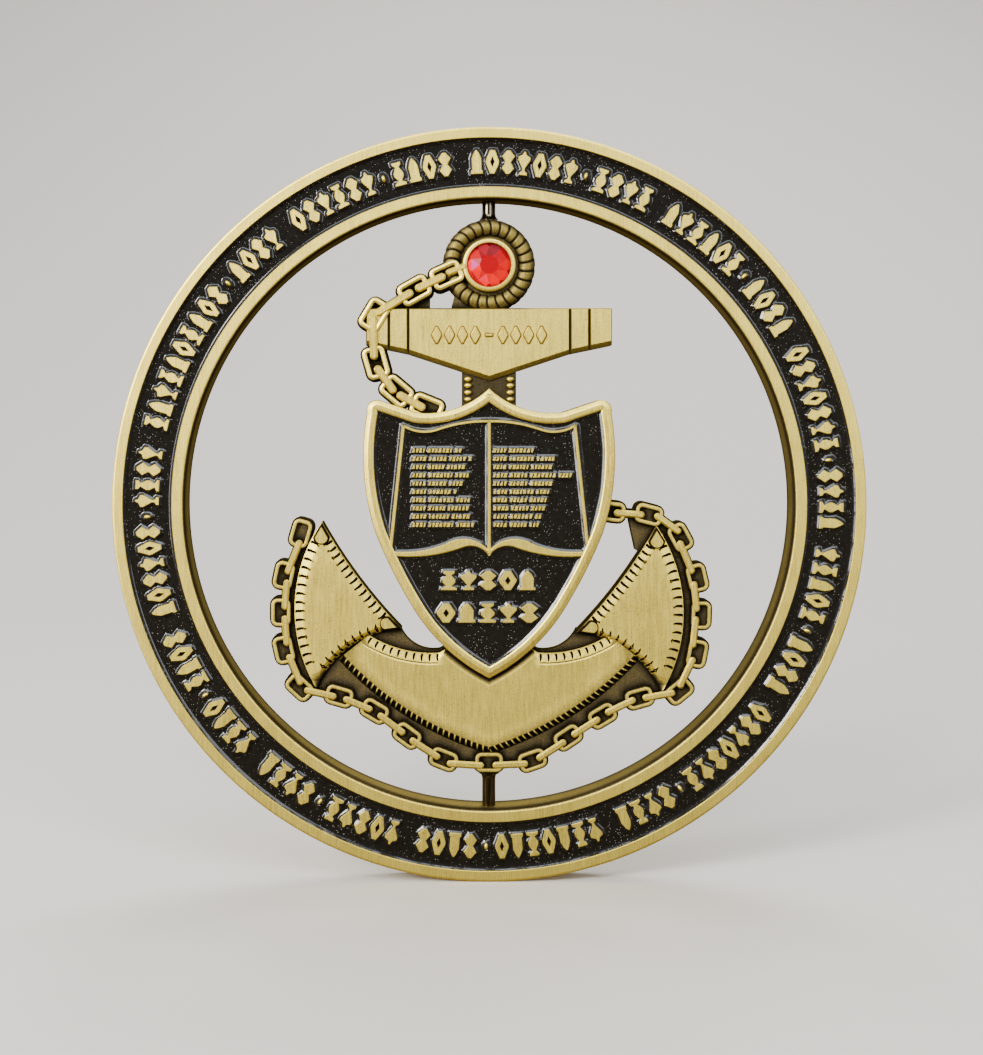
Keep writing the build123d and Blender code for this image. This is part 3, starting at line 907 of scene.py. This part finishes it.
def ring_band():
    """The ring's row of marks, and the outlines that the enamel meets."""
    relief, outlines, made = Relief(), [], 0
    for cell, kind in enumerate(band_cells()):
        angle = math.radians(FIRST_DOT + cell * 360 / MARK_CELLS)
        if kind == "gap":
            continue
        one = Relief()
        if kind == "dot":
            bead(one, 0, 0, *DOT_HALVES, CHANNEL_FLOOR, MARK_TOP, around=20, up=7)
            flat = circle(1.0, 20) * DOT_HALVES
        else:
            shape = MARKS[(3 * made + made // 4) % len(MARKS)]
            made += 1
            mark(one, shape, 0, 0, MARK_HALF_WIDTH, MARK_HALF_HEIGHT, CHANNEL_FLOOR, MARK_TOP)
            flat = mark_outline(shape[0]) * (MARK_HALF_WIDTH, MARK_HALF_HEIGHT)
        bent(one, angle)
        relief.points += one.points
        relief.wear_and_painted_light += one.wear_and_painted_light
        relief.faces += [tuple(v + relief.count for v in face) for face in one.faces]
        relief.count += one.count
        turn = angle + flat[:, 0] / MARK_MIDDLE
        radius = MARK_MIDDLE + flat[:, 1]
        outlines.append(np.column_stack([radius * np.sin(turn), radius * np.cos(turn)])[::-1])
    return relief, outlines


# ==== Enamel ====

def dense(outline, step):
    """A closed outline with points at most a step apart."""
    parts = [line(a, b, step) for a, b in zip(outline, np.roll(outline, -1, 0))]
    return np.vstack(parts)


def scatter(low, high, step, seed):
    """A slightly shaken grid of points over a box."""
    xs = np.arange(low[0], high[0], step)
    ys = np.arange(low[1], high[1], step * 0.866)
    grid = np.array([(x + (row % 2) * step / 2, y) for row, y in enumerate(ys) for x in xs])
    return grid + np.random.default_rng(seed).uniform(-0.12, 0.12, grid.shape) * step


def wall_distances(points, walls):
    """Distance from each point to the nearest of the wall points."""
    tree = kdtree.KDTree(len(walls))
    for i, (x, y) in enumerate(walls.tolist()):
        tree.insert((x, y, 0), i)
    tree.balance()
    return np.array([tree.find((x, y, 0))[2] for x, y in points.tolist()])


def enamel(relief, rims, walls, field, base, rest, climb, seed, fine=0.1, coarse=0.34, reach=0.34):
    """Enamel filling a recess between rims. It lies at a rest level and slopes up to every wall."""
    rims = [dense(rim, 0.12) for rim in rims]
    walls = [dense(wall, 0.09) for wall in walls]
    edges = np.vstack([dense(outline, 0.04) for outline in rims + walls])
    low, high = edges.min(0), edges.max(0)
    near = scatter(low, high, fine, seed)
    near = near[field(near)]
    gaps = wall_distances(near, edges)
    near = near[(gaps > 0.04) & (gaps < 0.62)]
    far = scatter(low, high, coarse, seed + 1)
    far = far[field(far)]
    far = far[wall_distances(far, edges) >= 0.62]
    points = np.vstack([near, far])
    gaps = wall_distances(points, edges)
    lumps = 0.006 * np.sin(points[:, 0] * 2.1 + 1.3) * np.cos(points[:, 1] * 1.7 + 0.4)
    slope = np.clip(1 - gaps / reach, 0, 1)
    heights = rest + climb * slope**1.2 + lumps
    loose = [np.array([(x, y, h, 0.0)]) for (x, y), h in zip(points, heights)]
    loops = [level(loop, rest + climb, 0.0) for loop in rims + walls]
    found, triangles = triangulate(loops, loose, inner_only=False)
    corners = np.array(triangles)
    held = field(found[corners, :2].mean(axis=1))
    faces = corners[held]
    relief.add(found[:, :3], [tuple(f) for f in faces.tolist()], 0.0)
    for rim in rims:
        skirt(relief, level(rim, base, 0.0), level(rim, rest + climb, 0.0))


# ==== Materials ====

def node_tree(name):
    material = bpy.data.materials.new(name)
    material.use_nodes = True
    nodes, links = material.node_tree.nodes, material.node_tree.links
    return material, nodes, links, nodes["Principled BSDF"]


def noise(nodes, links, source, scale, detail=3.0, rough=0.5, stretch=(1, 1, 1)):
    """A noise texture in the piece's own space, in cycles per millimetre."""
    mapping = nodes.new("ShaderNodeMapping")
    mapping.inputs["Scale"].default_value = [scale / MM * s for s in stretch]
    links.new(source, mapping.inputs["Vector"])
    texture = nodes.new("ShaderNodeTexNoise")
    texture.inputs["Scale"].default_value = 1.0
    texture.inputs["Detail"].default_value = detail
    texture.inputs["Roughness"].default_value = rough
    links.new(mapping.outputs["Vector"], texture.inputs["Vector"])
    return texture.outputs["Fac"]


def ramp(nodes, links, source, stops):
    """A colour ramp: stops are (place, colour)."""
    made = nodes.new("ShaderNodeValToRGB")
    elements = made.color_ramp.elements
    while len(elements) < len(stops):
        elements.new(0.5)
    for element, (place, colour) in zip(elements, stops):
        element.position = place
        element.color = (*colour, 1.0)
    links.new(source, made.inputs["Fac"])
    return made.outputs["Color"]


def blend(nodes, links, kind, factor, a, b):
    """Two colours blended: each argument is a number, a colour or another node's output."""
    made = nodes.new("ShaderNodeMix")
    made.data_type = "RGBA"
    made.blend_type = kind
    sockets = {socket.identifier: socket for socket in made.inputs}
    for key, value in (("Factor_Float", factor), ("A_Color", a), ("B_Color", b)):
        if isinstance(value, bpy.types.NodeSocket):
            links.new(value, sockets[key])
        else:
            sockets[key].default_value = value
    return next(socket for socket in made.outputs if socket.identifier == "Result_Color")


def maths(nodes, links, kind, *values):
    """A Math node on its values: each is a number or another node's output."""
    made = nodes.new("ShaderNodeMath")
    made.operation = kind
    for socket, value in zip(made.inputs, values):
        if isinstance(value, (int, float)):
            socket.default_value = value
        else:
            links.new(value, socket)
    return made.outputs["Value"]


def roughen(nodes, links, shader, height, strength, depth):
    """Bump the surface by a node's height, to a depth in millimetres."""
    bump = nodes.new("ShaderNodeBump")
    bump.inputs["Strength"].default_value = strength
    bump.inputs["Distance"].default_value = depth * MM
    links.new(height, bump.inputs["Height"])
    links.new(bump.outputs["Normal"], shader.inputs["Normal"])


def brass_material():
    """Antique brass: brushed high places, brown patina in the low ones, from the wear of each point; the same
    value also brings painted shade at the foot of walls, round the shield and on the flukes' lower rims.
    """
    material, nodes, links, shader = node_tree("antique_brass")
    place = nodes.new("ShaderNodeTexCoord").outputs["Object"]
    wear_and_painted_light = nodes.new("ShaderNodeAttribute")
    wear_and_painted_light.attribute_name = "wear_and_painted_light"
    grain = noise(nodes, links, place, 5.0, 4.0, 0.6)
    strokes = noise(nodes, links, place, 9.0, 3.0, 0.6, (1.0, 1.0, 0.045))
    patches = noise(nodes, links, place, 0.35, 2.0, 0.5)
    shifted = maths(nodes, links, "MULTIPLY_ADD", grain, 0.3, -0.15)
    # Wear plus grain; where the wear holds painted shade, this darkens the brass as shade.
    rubbed_and_shaded = maths(nodes, links, "ADD", wear_and_painted_light.outputs["Fac"], shifted)
    dark, brown = (0.01, 0.0075, 0.0035), (0.085, 0.065, 0.032)
    olive, bright = (0.3, 0.225, 0.05), (0.98, 0.765, 0.14)
    colour = ramp(nodes, links, rubbed_and_shaded, [(0.05, dark), (0.3, brown), (0.58, olive), (0.86, bright)])
    mixed = maths(nodes, links, "MULTIPLY_ADD", strokes, 0.85, 0.38)
    pores = noise(nodes, links, place, 6.5, 2.0, 0.7)
    specks = ramp(nodes, links, pores, [(0.3, (0.55, 0.55, 0.55)), (0.44, (1, 1, 1))])
    mixed = maths(nodes, links, "ADD", mixed, maths(nodes, links, "MULTIPLY", patches, 0.34))
    mixed = maths(nodes, links, "MULTIPLY", mixed, specks)
    links.new(blend(nodes, links, "MULTIPLY", 1.0, colour, mixed), shader.inputs["Base Color"])
    shader.inputs["Metallic"].default_value = 1.0
    shader.inputs["Specular Tint"].default_value = (0.7, 0.6, 0.35, 1.0)
    gloss = maths(nodes, links, "MULTIPLY_ADD", rubbed_and_shaded, -0.28, 0.66)
    gloss = maths(nodes, links, "ADD", gloss, maths(nodes, links, "MULTIPLY", strokes, 0.12))
    links.new(gloss, shader.inputs["Roughness"])
    height = maths(nodes, links, "ADD", maths(nodes, links, "MULTIPLY", strokes, 0.5), grain)
    roughen(nodes, links, shader, height, 0.35, 0.02)
    return material


def enamel_material():
    """Glossy black enamel with fine pale dust in it."""
    material, nodes, links, shader = node_tree("black_enamel")
    place = nodes.new("ShaderNodeTexCoord").outputs["Object"]
    mapping = nodes.new("ShaderNodeMapping")
    mapping.inputs["Scale"].default_value = (4.4 / MM, 4.4 / MM, 3.6 / MM)
    links.new(place, mapping.inputs["Vector"])
    cells = nodes.new("ShaderNodeTexVoronoi")
    cells.inputs["Scale"].default_value = 1.0
    links.new(mapping.outputs["Vector"], cells.inputs["Vector"])
    patches = noise(nodes, links, place, 0.5, 3.0)
    size = maths(nodes, links, "MULTIPLY", patches, 0.26)
    fleck = maths(nodes, links, "LESS_THAN", cells.outputs["Distance"], size)
    blacks = [(0.3, (0.003, 0.0025, 0.0018)), (0.7, (0.006, 0.005, 0.004))]
    base = ramp(nodes, links, noise(nodes, links, place, 2.0), blacks)
    shader.inputs["Specular IOR Level"].default_value = 0.35
    dusty = blend(nodes, links, "MIX", fleck, base, (0.16, 0.15, 0.13, 1.0))
    links.new(dusty, shader.inputs["Base Color"])
    gloss = maths(nodes, links, "MULTIPLY_ADD", noise(nodes, links, place, 3.0), 0.08, 0.06)
    links.new(gloss, shader.inputs["Roughness"])
    roughen(nodes, links, shader, noise(nodes, links, place, 1.6, 3.0), 0.25, 0.01)
    return material


def steel_material():
    """Bright drawn wire with fine lengthwise scratches."""
    material, nodes, links, shader = node_tree("bright_steel")
    place = nodes.new("ShaderNodeTexCoord").outputs["Object"]
    scratches = noise(nodes, links, place, 7.0, 3.0, 0.6, (1.0, 1.0, 0.06))
    colour = ramp(nodes, links, scratches, [(0.3, (0.04, 0.032, 0.019)), (0.65, (0.18, 0.14, 0.084))])
    links.new(colour, shader.inputs["Base Color"])
    shader.inputs["Metallic"].default_value = 1.0
    gloss = maths(nodes, links, "MULTIPLY_ADD", scratches, 0.2, 0.1)
    links.new(gloss, shader.inputs["Roughness"])
    return material


def crystal_material():
    """Red glass over a foil: each facet carries its own painted light and shade, in place of the stone's
    reflections.
    """
    material, nodes, links, shader = node_tree("red_crystal")
    painted_facet_light = nodes.new("ShaderNodeAttribute")
    painted_facet_light.attribute_name = "wear_and_painted_light"
    # From painted shade through the red to a painted pale violet glint at the top.
    stops = [(0.0, (0.04, 0.0, 0.002)), (0.35, (0.26, 0.0, 0.004))]
    stops += [(0.75, (0.6, 0.002, 0.0)), (1.0, (0.36, 0.05, 0.22))]
    colour = ramp(nodes, links, painted_facet_light.outputs["Fac"], stops)
    place = nodes.new("ShaderNodeTexCoord").outputs["Object"]
    links.new(colour, shader.inputs["Base Color"])
    gloss = maths(nodes, links, "MULTIPLY_ADD", noise(nodes, links, place, 2.0), 0.06, 0.12)
    links.new(gloss, shader.inputs["Roughness"])
    shader.inputs["Specular IOR Level"].default_value = 0.05
    # The facets' colour also glows a little: a painted glow, as the stone is no lamp.
    links.new(colour, shader.inputs["Emission Color"])
    shader.inputs["Emission Strength"].default_value = 0.25
    return material


def stage_material():
    """A plain pale matt floor."""
    material, _, _, shader = node_tree("pale_stage")
    shader.inputs["Base Color"].default_value = (0.5, 0.47, 0.425, 1.0)
    shader.inputs["Roughness"].default_value = 0.9
    return material


BRASS = brass_material()
ENAMEL = enamel_material()
STEEL = steel_material()
CRYSTAL = crystal_material()


def piece(name, relief, material, body, back=False, stands_for=()):
    """One finished piece of the model, riding on a body."""
    mesh = relief.mesh(name, back)
    mesh.materials.append(material)
    made = bpy.data.objects.new(name, mesh)
    bpy.context.scene.collection.objects.link(made)
    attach(made, body)
    if stands_for:
        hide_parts(*stands_for)
    return made


# ==== The ring ====

def ring_profile():
    """Half of the ring's section, from the middle of the hole's wall to the middle of the outer edge."""
    hole = ((HOLE_RADIUS, 0.0, 0.42), (HOLE_RADIUS, FACE - 1.2, 0.38), (HOLE_RADIUS + 0.01, FACE - 0.4, 0.12))
    hole += ((HOLE_RADIUS + 0.05, FACE - 0.2, 0.15), (HOLE_RADIUS + 0.14, FACE - 0.06, 0.4))
    inner_rim = ((HOLE_RADIUS + 0.26, FACE, 1.0), (HOLE_RADIUS + 0.34, FACE, 1.0))
    inner_rim += ((CHANNEL_INNER - 0.13, FACE, 1.0), (CHANNEL_INNER - 0.05, FACE, 1.0))
    inner_rim += ((CHANNEL_INNER, FACE - 0.05, 0.7),)
    channel = ((CHANNEL_INNER, CHANNEL_FLOOR, 0.0), (CHANNEL_OUTER, CHANNEL_FLOOR, 0.0))
    outer_rim = ((CHANNEL_OUTER, FACE - 0.05, 0.7), (CHANNEL_OUTER + 0.05, FACE, 1.0))
    outer_rim += ((CHANNEL_OUTER + 0.13, FACE, 1.0), (COIN_RADIUS - 0.28, FACE, 1.0))
    outer_rim += ((COIN_RADIUS - 0.2, FACE, 1.0),)
    edge = ((COIN_RADIUS - 0.08, FACE - 0.04, 1.0), (COIN_RADIUS - 0.02, FACE - 0.12, 0.9))
    edge += ((COIN_RADIUS, FACE - 0.25, 0.8), (COIN_RADIUS, 0.0, 0.75))
    return hole + inner_rim + channel + outer_rim + edge


def make_ring():
    """The ring and its enamel. The hole's wall is plain: the sockets for the pins are left out."""
    half = ring_profile()
    other = tuple((r, -h, w) for r, h, w in half[1:-1][::-1])
    relief = Relief()
    lathe(relief, (half + other)[::-1], 512)
    piece("ring", relief, BRASS, "ring", stands_for=["ring_casting"])
    band, outlines = ring_band()
    fill = Relief()
    rims = [circle(CHANNEL_OUTER, 720), circle(CHANNEL_INNER, 640)[::-1]]

    def in_channel(points):
        radius = np.linalg.norm(points, axis=1)
        return (radius > CHANNEL_INNER) & (radius < CHANNEL_OUTER)

    enamel(fill, rims, outlines, in_channel, CHANNEL_FLOOR, ENAMEL_LEVEL, RING_CLIMB, seed=3)
    for side, back in COIN_SIDES:
        piece(f"ring_{side}_marks", band, BRASS, "ring", back)
        piece(f"ring_{side}_enamel_fill", fill, ENAMEL, "ring", back, [f"ring_{side}_enamel"])


# ==== The centre ====

def make_anchor():
    """The anchor: one web under everything, and the relief that stands on it."""
    relief = Relief()
    flukes = [fluke_outline(side, lift) for side, lift in FLUKE_SHIFTS]
    stock = crossbar_part(-CROSSBAR_HALF_LENGTH, CROSSBAR_HALF_LENGTH)
    seat = contour(shield_outline(), SEAT_INSET)
    outlines = chain_outlines(WEB_MARGIN) + flukes
    outlines += [flank_outline(LOWER_CHAIN[:9]), flank_outline(LOWER_CHAIN[-4:-14:-1])]
    outlines += [arm_outline(), base_outline()]
    outlines += [np.array(corners) for corners in (*UPPER_GROUND, TIP_GROUND)]
    outlines += [np.array([(-1.6, -26.2), (-0.95, GUSSET_REACH), (0.95, GUSSET_REACH), (1.6, -26.2)])]
    outlines += [stock, placed(rounded_box(2 * SHANK_HALF_WIDTH, 9.0, 0.1), 0, 9.0, 0)]
    outlines += [circle(ROPE_OUTER - 0.05, 96, (0, ROPE_CENTRE)), seat]
    walls = [arm_outline(), shield_outline(), stock, *flukes, *chain_outlines(0.0)]
    united(relief, [ccw(outline) for outline in outlines], 0.0, WEB, GROUND_WEAR, 0.05, walls)
    slab(relief, seat, FOOT, SEAT_TOP, bevel=0.0, wear_and_painted_light=0.1, wall_wear=0.0)
    arms(relief)
    for side, lift in FLUKE_SHIFTS:
        fluke(relief, side, lift)
    crossbar(relief)
    ornament(relief)
    shank(relief)
    rope_ring(relief)
    bezel(relief)
    for settings in CHAINS:
        chain(relief, *settings)
    for side, back in COIN_SIDES:
        piece(f"anchor_{side}", relief, BRASS, "centre", back, [f"anchor_{side}_casting"])


def page_line():
    return np.vstack([line((8.66, 7.95), (10.0, -4.9), 0.5), [(10.0, -4.9)]])


def page_top():
    return trace((0, 8.38), ((3.2, 8.1), (5.2, 7.55)), ((7.3, 7.4), (8.66, 7.95)))


def page_bottom():
    upper = trace((9.95, -4.72), ((6.4, -4.6), (4.3, -3.95)), ((2.2, -3.5), (0, -4.7)))
    lower = trace((0, -5.25), ((1.0, -4.4), (2.4, -4.28)), ((5.7, -5.15), (9.95, -5.2)))
    return np.vstack([upper, [(0, -5.25)], lower])


LEFT_ROW_ENDS = (-2.8, -1.6, -2.3, -1.9, -2.5, -3.0, -1.75, -1.95, -1.8, -1.4)
RIGHT_ROW_ENDS = (4.7, 6.6, 6.8, 8.6, 6.3, 6.3, 6.0, 5.9, 5.3, 5.2)


def page_rows(relief):
    """Ten rows of tiny raised blocks on each page."""
    random = np.random.default_rng(11)
    blocks = []
    for ends, start in ((LEFT_ROW_ENDS, -7.75), (RIGHT_ROW_ENDS, 0.42)):
        for row, end in enumerate(ends):
            y = FIRST_ROW - ROW_PITCH * row
            x, left_in_word = start, 4
            while x < end - 0.25:
                width = random.uniform(0.24, 0.34)
                height = 0.22 * random.uniform(0.92, 1.0)
                blocks.append((x + width / 2, y, width, height))
                x += width + 0.075
                left_in_word -= 1
                if left_in_word == 0:
                    x += 0.2
                    left_in_word = int(random.integers(5, 8))
    outlines = []
    for i, (x, y, width, height) in enumerate(blocks):
        shape = TINY_MARKS[(i * 5 + i // 7) % len(TINY_MARKS)]
        outline = np.array(shape, float) * (width / 2, height)
        outline[:, 0] += 0.22 * outline[:, 1]
        outline += (x, y)
        slab(relief, outline, SHIELD_FLOOR, BOOK_TOP - 0.04, bevel=0.03, wall_wear=0.2)
        outlines.append(outline)
    return outlines


def motto_blocks(relief):
    """Two rows of five larger marks under the book."""
    outlines = []
    for y, left, right in MOTTO_ROWS:
        pitch = (right - left) / 5
        for k in range(5):
            shape = MARKS[(2 * k + (y < -9)) % len(MARKS)]
            x = left + pitch * (k + 0.5)
            mark(relief, shape, x, y, pitch * 0.44, 0.97, SHIELD_FLOOR, BOOK_TOP)
            outlines.append(mark_outline(shape[0]) * (pitch * 0.44, 0.97) + (x, y))
    return outlines


def ridge_outline(path, width):
    left = normals(path, False) * width / 2
    return ccw(np.vstack([path + left, (path - left)[::-1]]))


def make_shield():
    """The shield: a bordered plate with an open book and two rows of marks, and its enamel."""
    relief, fill = Relief(), Relief()
    outline = shield_outline()
    slab(relief, outline, SHIELD_SEAT, SHIELD_FLOOR, bevel=0.0, wear_and_painted_light=0.3, wall_wear=0.15)
    inner = contour(outline, SHIELD_BORDER)
    steps = ((0.0, SHIELD_FLOOR - 0.05, 0.15), (0.0, SHIELD_TOP - 0.25, 0.6), (0.08, SHIELD_TOP - 0.13, 0.85))
    steps += ((0.18, SHIELD_TOP - 0.09, 0.8), (0.36, SHIELD_TOP - 0.07, 0.8), (0.46, SHIELD_TOP, 1.0))
    steps += ((0.54, SHIELD_TOP, 1.0), (0.88, SHIELD_TOP - 0.01, 1.0), (0.96, SHIELD_TOP - 0.02, 1.0))
    steps += ((1.05, SHIELD_TOP - 0.1, 0.85),)
    border = [level(outline + normals(outline, True) * d, h, w) for d, h, w in steps]
    border.append(level(outline + normals(outline, True) * SHIELD_BORDER, SHIELD_FLOOR - 0.05, 0.2))
    skirt(relief, *border)
    walls = []
    for side in (-1, 1):
        for path, width in ((page_line(), 0.34), (page_top(), 0.3)):
            path = path * (side, 1)
            ridge(relief, path, width, SHIELD_FLOOR, BOOK_TOP)
            walls.append(ridge_outline(path, width))
        band = ccw(page_bottom() * (side, 1))
        slab(relief, band, SHIELD_FLOOR, BOOK_TOP, bevel=0.1, wall_wear=0.3)
        walls.append(band)
    spine = np.vstack([line((0, 8.4), (0, -4.9), 0.5), [(0, -4.9)]])
    ridge(relief, spine, 0.34, SHIELD_FLOOR, BOOK_TOP)
    walls.append(ridge_outline(spine, 0.34))
    walls += page_rows(relief)
    walls += motto_blocks(relief)

    def in_field(points):
        return inside(inner, points)

    enamel(fill, [inner], walls, in_field, SHIELD_FLOOR - 0.02, SHIELD_ENAMEL, SHIELD_CLIMB, seed=8)
    for side, back in COIN_SIDES:
        piece(f"shield_{side}", relief, BRASS, "centre", back, [f"shield_{side}_plate"])
        stands_for = [f"shield_{side}_enamel"]
        piece(f"shield_{side}_enamel_fill", fill, ENAMEL, "centre", back, stands_for)


def make_crystals():
    """A round stone: a flat table, a ring of large facets and a ring of small ones at the girdle."""
    random = np.random.default_rng(5)
    table, girdle, count = 0.44 * CRYSTAL_RADIUS, CRYSTAL_RADIUS, 10
    relief = Relief()

    def ring(radius, height, twist, n=count):
        return np.column_stack([placed(circle(radius, n), 0, ROPE_CENTRE, twist), np.full(n, height)])

    step = math.pi / count
    top = ring(table, CRYSTAL_TOP, 0.0)
    middle = ring(0.86 * girdle, CRYSTAL_TOP - 0.34, step)
    low = ring(girdle, CRYSTAL_TOP - 0.5, step / 2, 2 * count)
    foot = ring(girdle, CRYSTAL_SEAT, step / 2, 2 * count)
    # Each facet's painted light, from the right side anticlockwise: painted shade above, painted brightness
    # below, one painted pale glint.
    painted_facet_lights = (0.55, 0.4, 0.15, 0.25, 0.45, 0.95, 0.6, 0.78, 0.7, 0.62)

    def facet(points, painted_facet_light):
        relief.add(np.array(points), [tuple(range(len(points)))], painted_facet_light)

    facet(top, 0.32)
    for i in range(count):
        j = (i + 1) % count
        facet([top[i], middle[(i - 1) % count], middle[i]], painted_facet_lights[i])
        facet([top[i], middle[i], top[j]], 0.75 * painted_facet_lights[i])
        a, b, c = low[(2 * i - 1) % (2 * count)], low[2 * i], low[(2 * i + 1) % (2 * count)]
        facet([middle[(i - 1) % count], a, b], painted_facet_lights[i] * random.uniform(0.3, 0.9))
        facet([middle[(i - 1) % count], b, middle[i]], painted_facet_lights[i] * random.uniform(0.5, 1.0))
        facet([middle[i], b, c], painted_facet_lights[i] * random.uniform(0.3, 0.9))
    n = 2 * count
    wall = np.vstack([foot, low])
    relief.add(wall, strips(n, 2), 0.1)
    facet(foot[::-1], 0.0)
    for side, back in COIN_SIDES:
        piece(f"crystal_{side}_stone", relief, CRYSTAL, "centre", back, [f"crystal_{side}"])


def make_pins():
    """Bright wire pins with the solder fillet that holds each of them in the anchor."""
    for name in ("upper_pin", "lower_pin"):
        low, high = (corner.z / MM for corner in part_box(name))
        up = 1 if name == "upper_pin" else -1
        root, tip = (low, high) if up > 0 else (high, low)
        solder = SOLDER_AT[name]
        steps = [(root, PIN_RADIUS), (solder, PIN_RADIUS)]
        steps += [(solder + rise * up, radius) for rise, radius in SOLDER_STEPS]
        steps += [(tip - 0.1 * up, PIN_RADIUS), (tip, PIN_RADIUS - 0.1)]
        count = 40
        rows = [np.column_stack([circle(r, count), np.full(count, z)]) for z, r in steps]
        points = np.vstack(rows)
        faces = strips(count, len(rows))
        faces += [tuple(range(count))[::-1], tuple(range(count * (len(rows) - 1), count * len(rows)))]
        if up < 0:
            faces = [f[::-1] for f in faces]
        mesh = bpy.data.meshes.new(name + "_wire")
        mesh.from_pydata((points * MM).tolist(), [], faces)
        mesh.shade_smooth()
        mesh.set_sharp_from_angle(angle=SMOOTH_ANGLE)
        mesh.materials.append(STEEL)
        wire = bpy.data.objects.new(name + "_wire", mesh)
        bpy.context.scene.collection.objects.link(wire)
        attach(wire, "centre")
        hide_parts(name)


# ==== Floor, light and camera ====

def make_stage():
    """A pale floor that sweeps up into a backdrop. The metal mirrors the world's warm lower half instead."""
    floor_z = CAD_BOX[0].z
    start, bend, steps = 0.2, 0.9, 24
    profile = [(-1.2, floor_z), (start, floor_z)]
    for k in range(1, steps + 1):
        turn = math.pi / 2 * k / steps
        profile.append((start + bend * math.sin(turn), floor_z + bend * (1 - math.cos(turn))))
    points = [(x, y, z) for x in (-2.0, 2.0) for y, z in profile]
    n = len(profile)
    faces = [(i, i + 1, n + i + 1, n + i) for i in range(n - 1)]
    mesh = bpy.data.meshes.new("floor")
    mesh.from_pydata(points, [], [f[::-1] for f in faces])
    mesh.shade_smooth()
    mesh.materials.append(stage_material())
    floor = bpy.data.objects.new("floor", mesh)
    floor.visible_glossy = False
    bpy.context.scene.collection.objects.link(floor)


def soft_box(name, place, aim, width, height, watts, colour=(1, 1, 1)):
    """A rectangular area light at a place, pointing at another."""
    data = bpy.data.lights.new(name, "AREA")
    data.shape = "RECTANGLE"
    data.size, data.size_y = width, height
    data.energy = watts
    data.color = colour
    lamp = bpy.data.objects.new(name, data)
    lamp.location = place
    lamp.rotation_euler = (Vector(aim) - Vector(place)).to_track_quat("-Z", "Y").to_euler()
    bpy.context.scene.collection.objects.link(lamp)


def studio_world():
    """Pale light from above and the left, with a darker patch straight in front of each face."""
    world = bpy.data.worlds.new("studio")
    world.use_nodes = True
    nodes, links = world.node_tree.nodes, world.node_tree.links
    parts = nodes.new("ShaderNodeSeparateXYZ")
    links.new(nodes.new("ShaderNodeTexCoord").outputs["Generated"], parts.inputs["Vector"])
    facing = maths(nodes, links, "ABSOLUTE", parts.outputs["Y"], 0.0)
    stops = [(0.5, (0.85, 0.88, 0.93)), (0.86, (0.23, 0.227, 0.22))]
    pale = ramp(nodes, links, facing, stops)
    side = maths(nodes, links, "MULTIPLY_ADD", parts.outputs["X"], -0.42, 1.5)
    rise = maths(nodes, links, "MULTIPLY_ADD", parts.outputs["Z"], 0.5, 0.5)
    stops = [(0.3, (0.3, 0.22, 0.1)), (0.42, (1.0, 0.86, 0.6)), (0.58, (1.0, 1.0, 1.0))]
    tint = ramp(nodes, links, rise, stops)
    lit = blend(nodes, links, "MULTIPLY", 1.0, pale, tint)
    links.new(blend(nodes, links, "MULTIPLY", 1.0, lit, side), nodes["Background"].inputs["Color"])
    bpy.context.scene.world = world


def make_lights():
    studio_world()
    soft_box("key", (-0.22, -0.27, 0.15), (-0.01, 0, 0.005), 0.1, 0.1, 1.9, (1.0, 0.97, 0.92))
    soft_box("left", (-0.52, -0.46, 0.06), (0, 0, 0), 0.1, 0.35, 2.6)
    soft_box("fill", (0.34, -0.6, 0.22), (0, 0, 0), 0.24, 0.4, 2.0, (0.96, 0.98, 1.0))
    soft_box("top", (0.0, -0.45, 0.5), (0, 0, 0), 0.7, 0.16, 3.6, (0.88, 0.94, 1.0))
    soft_box("rear", (0.15, 0.6, 0.8), (0, 0, 0), 0.6, 0.4, 9.0)


def make_camera():
    """The camera stands 154 mm in front of the coin, square to it, a little above and left of its centre."""
    data = bpy.data.cameras.new("camera")
    data.lens = 51.44
    data.shift_x = 0.0397
    data.shift_y = -0.0995
    data.clip_start = 0.01
    camera = bpy.data.objects.new("camera", data)
    camera.location = (-4.0 * MM, -154 * MM, 8.25 * MM)
    camera.rotation_euler = (math.pi / 2, 0, 0)
    bpy.context.scene.collection.objects.link(camera)
    bpy.context.scene.camera = camera


make_camera()
make_lights()
make_stage()
make_ring()
make_anchor()
make_shield()
make_crystals()
make_pins()
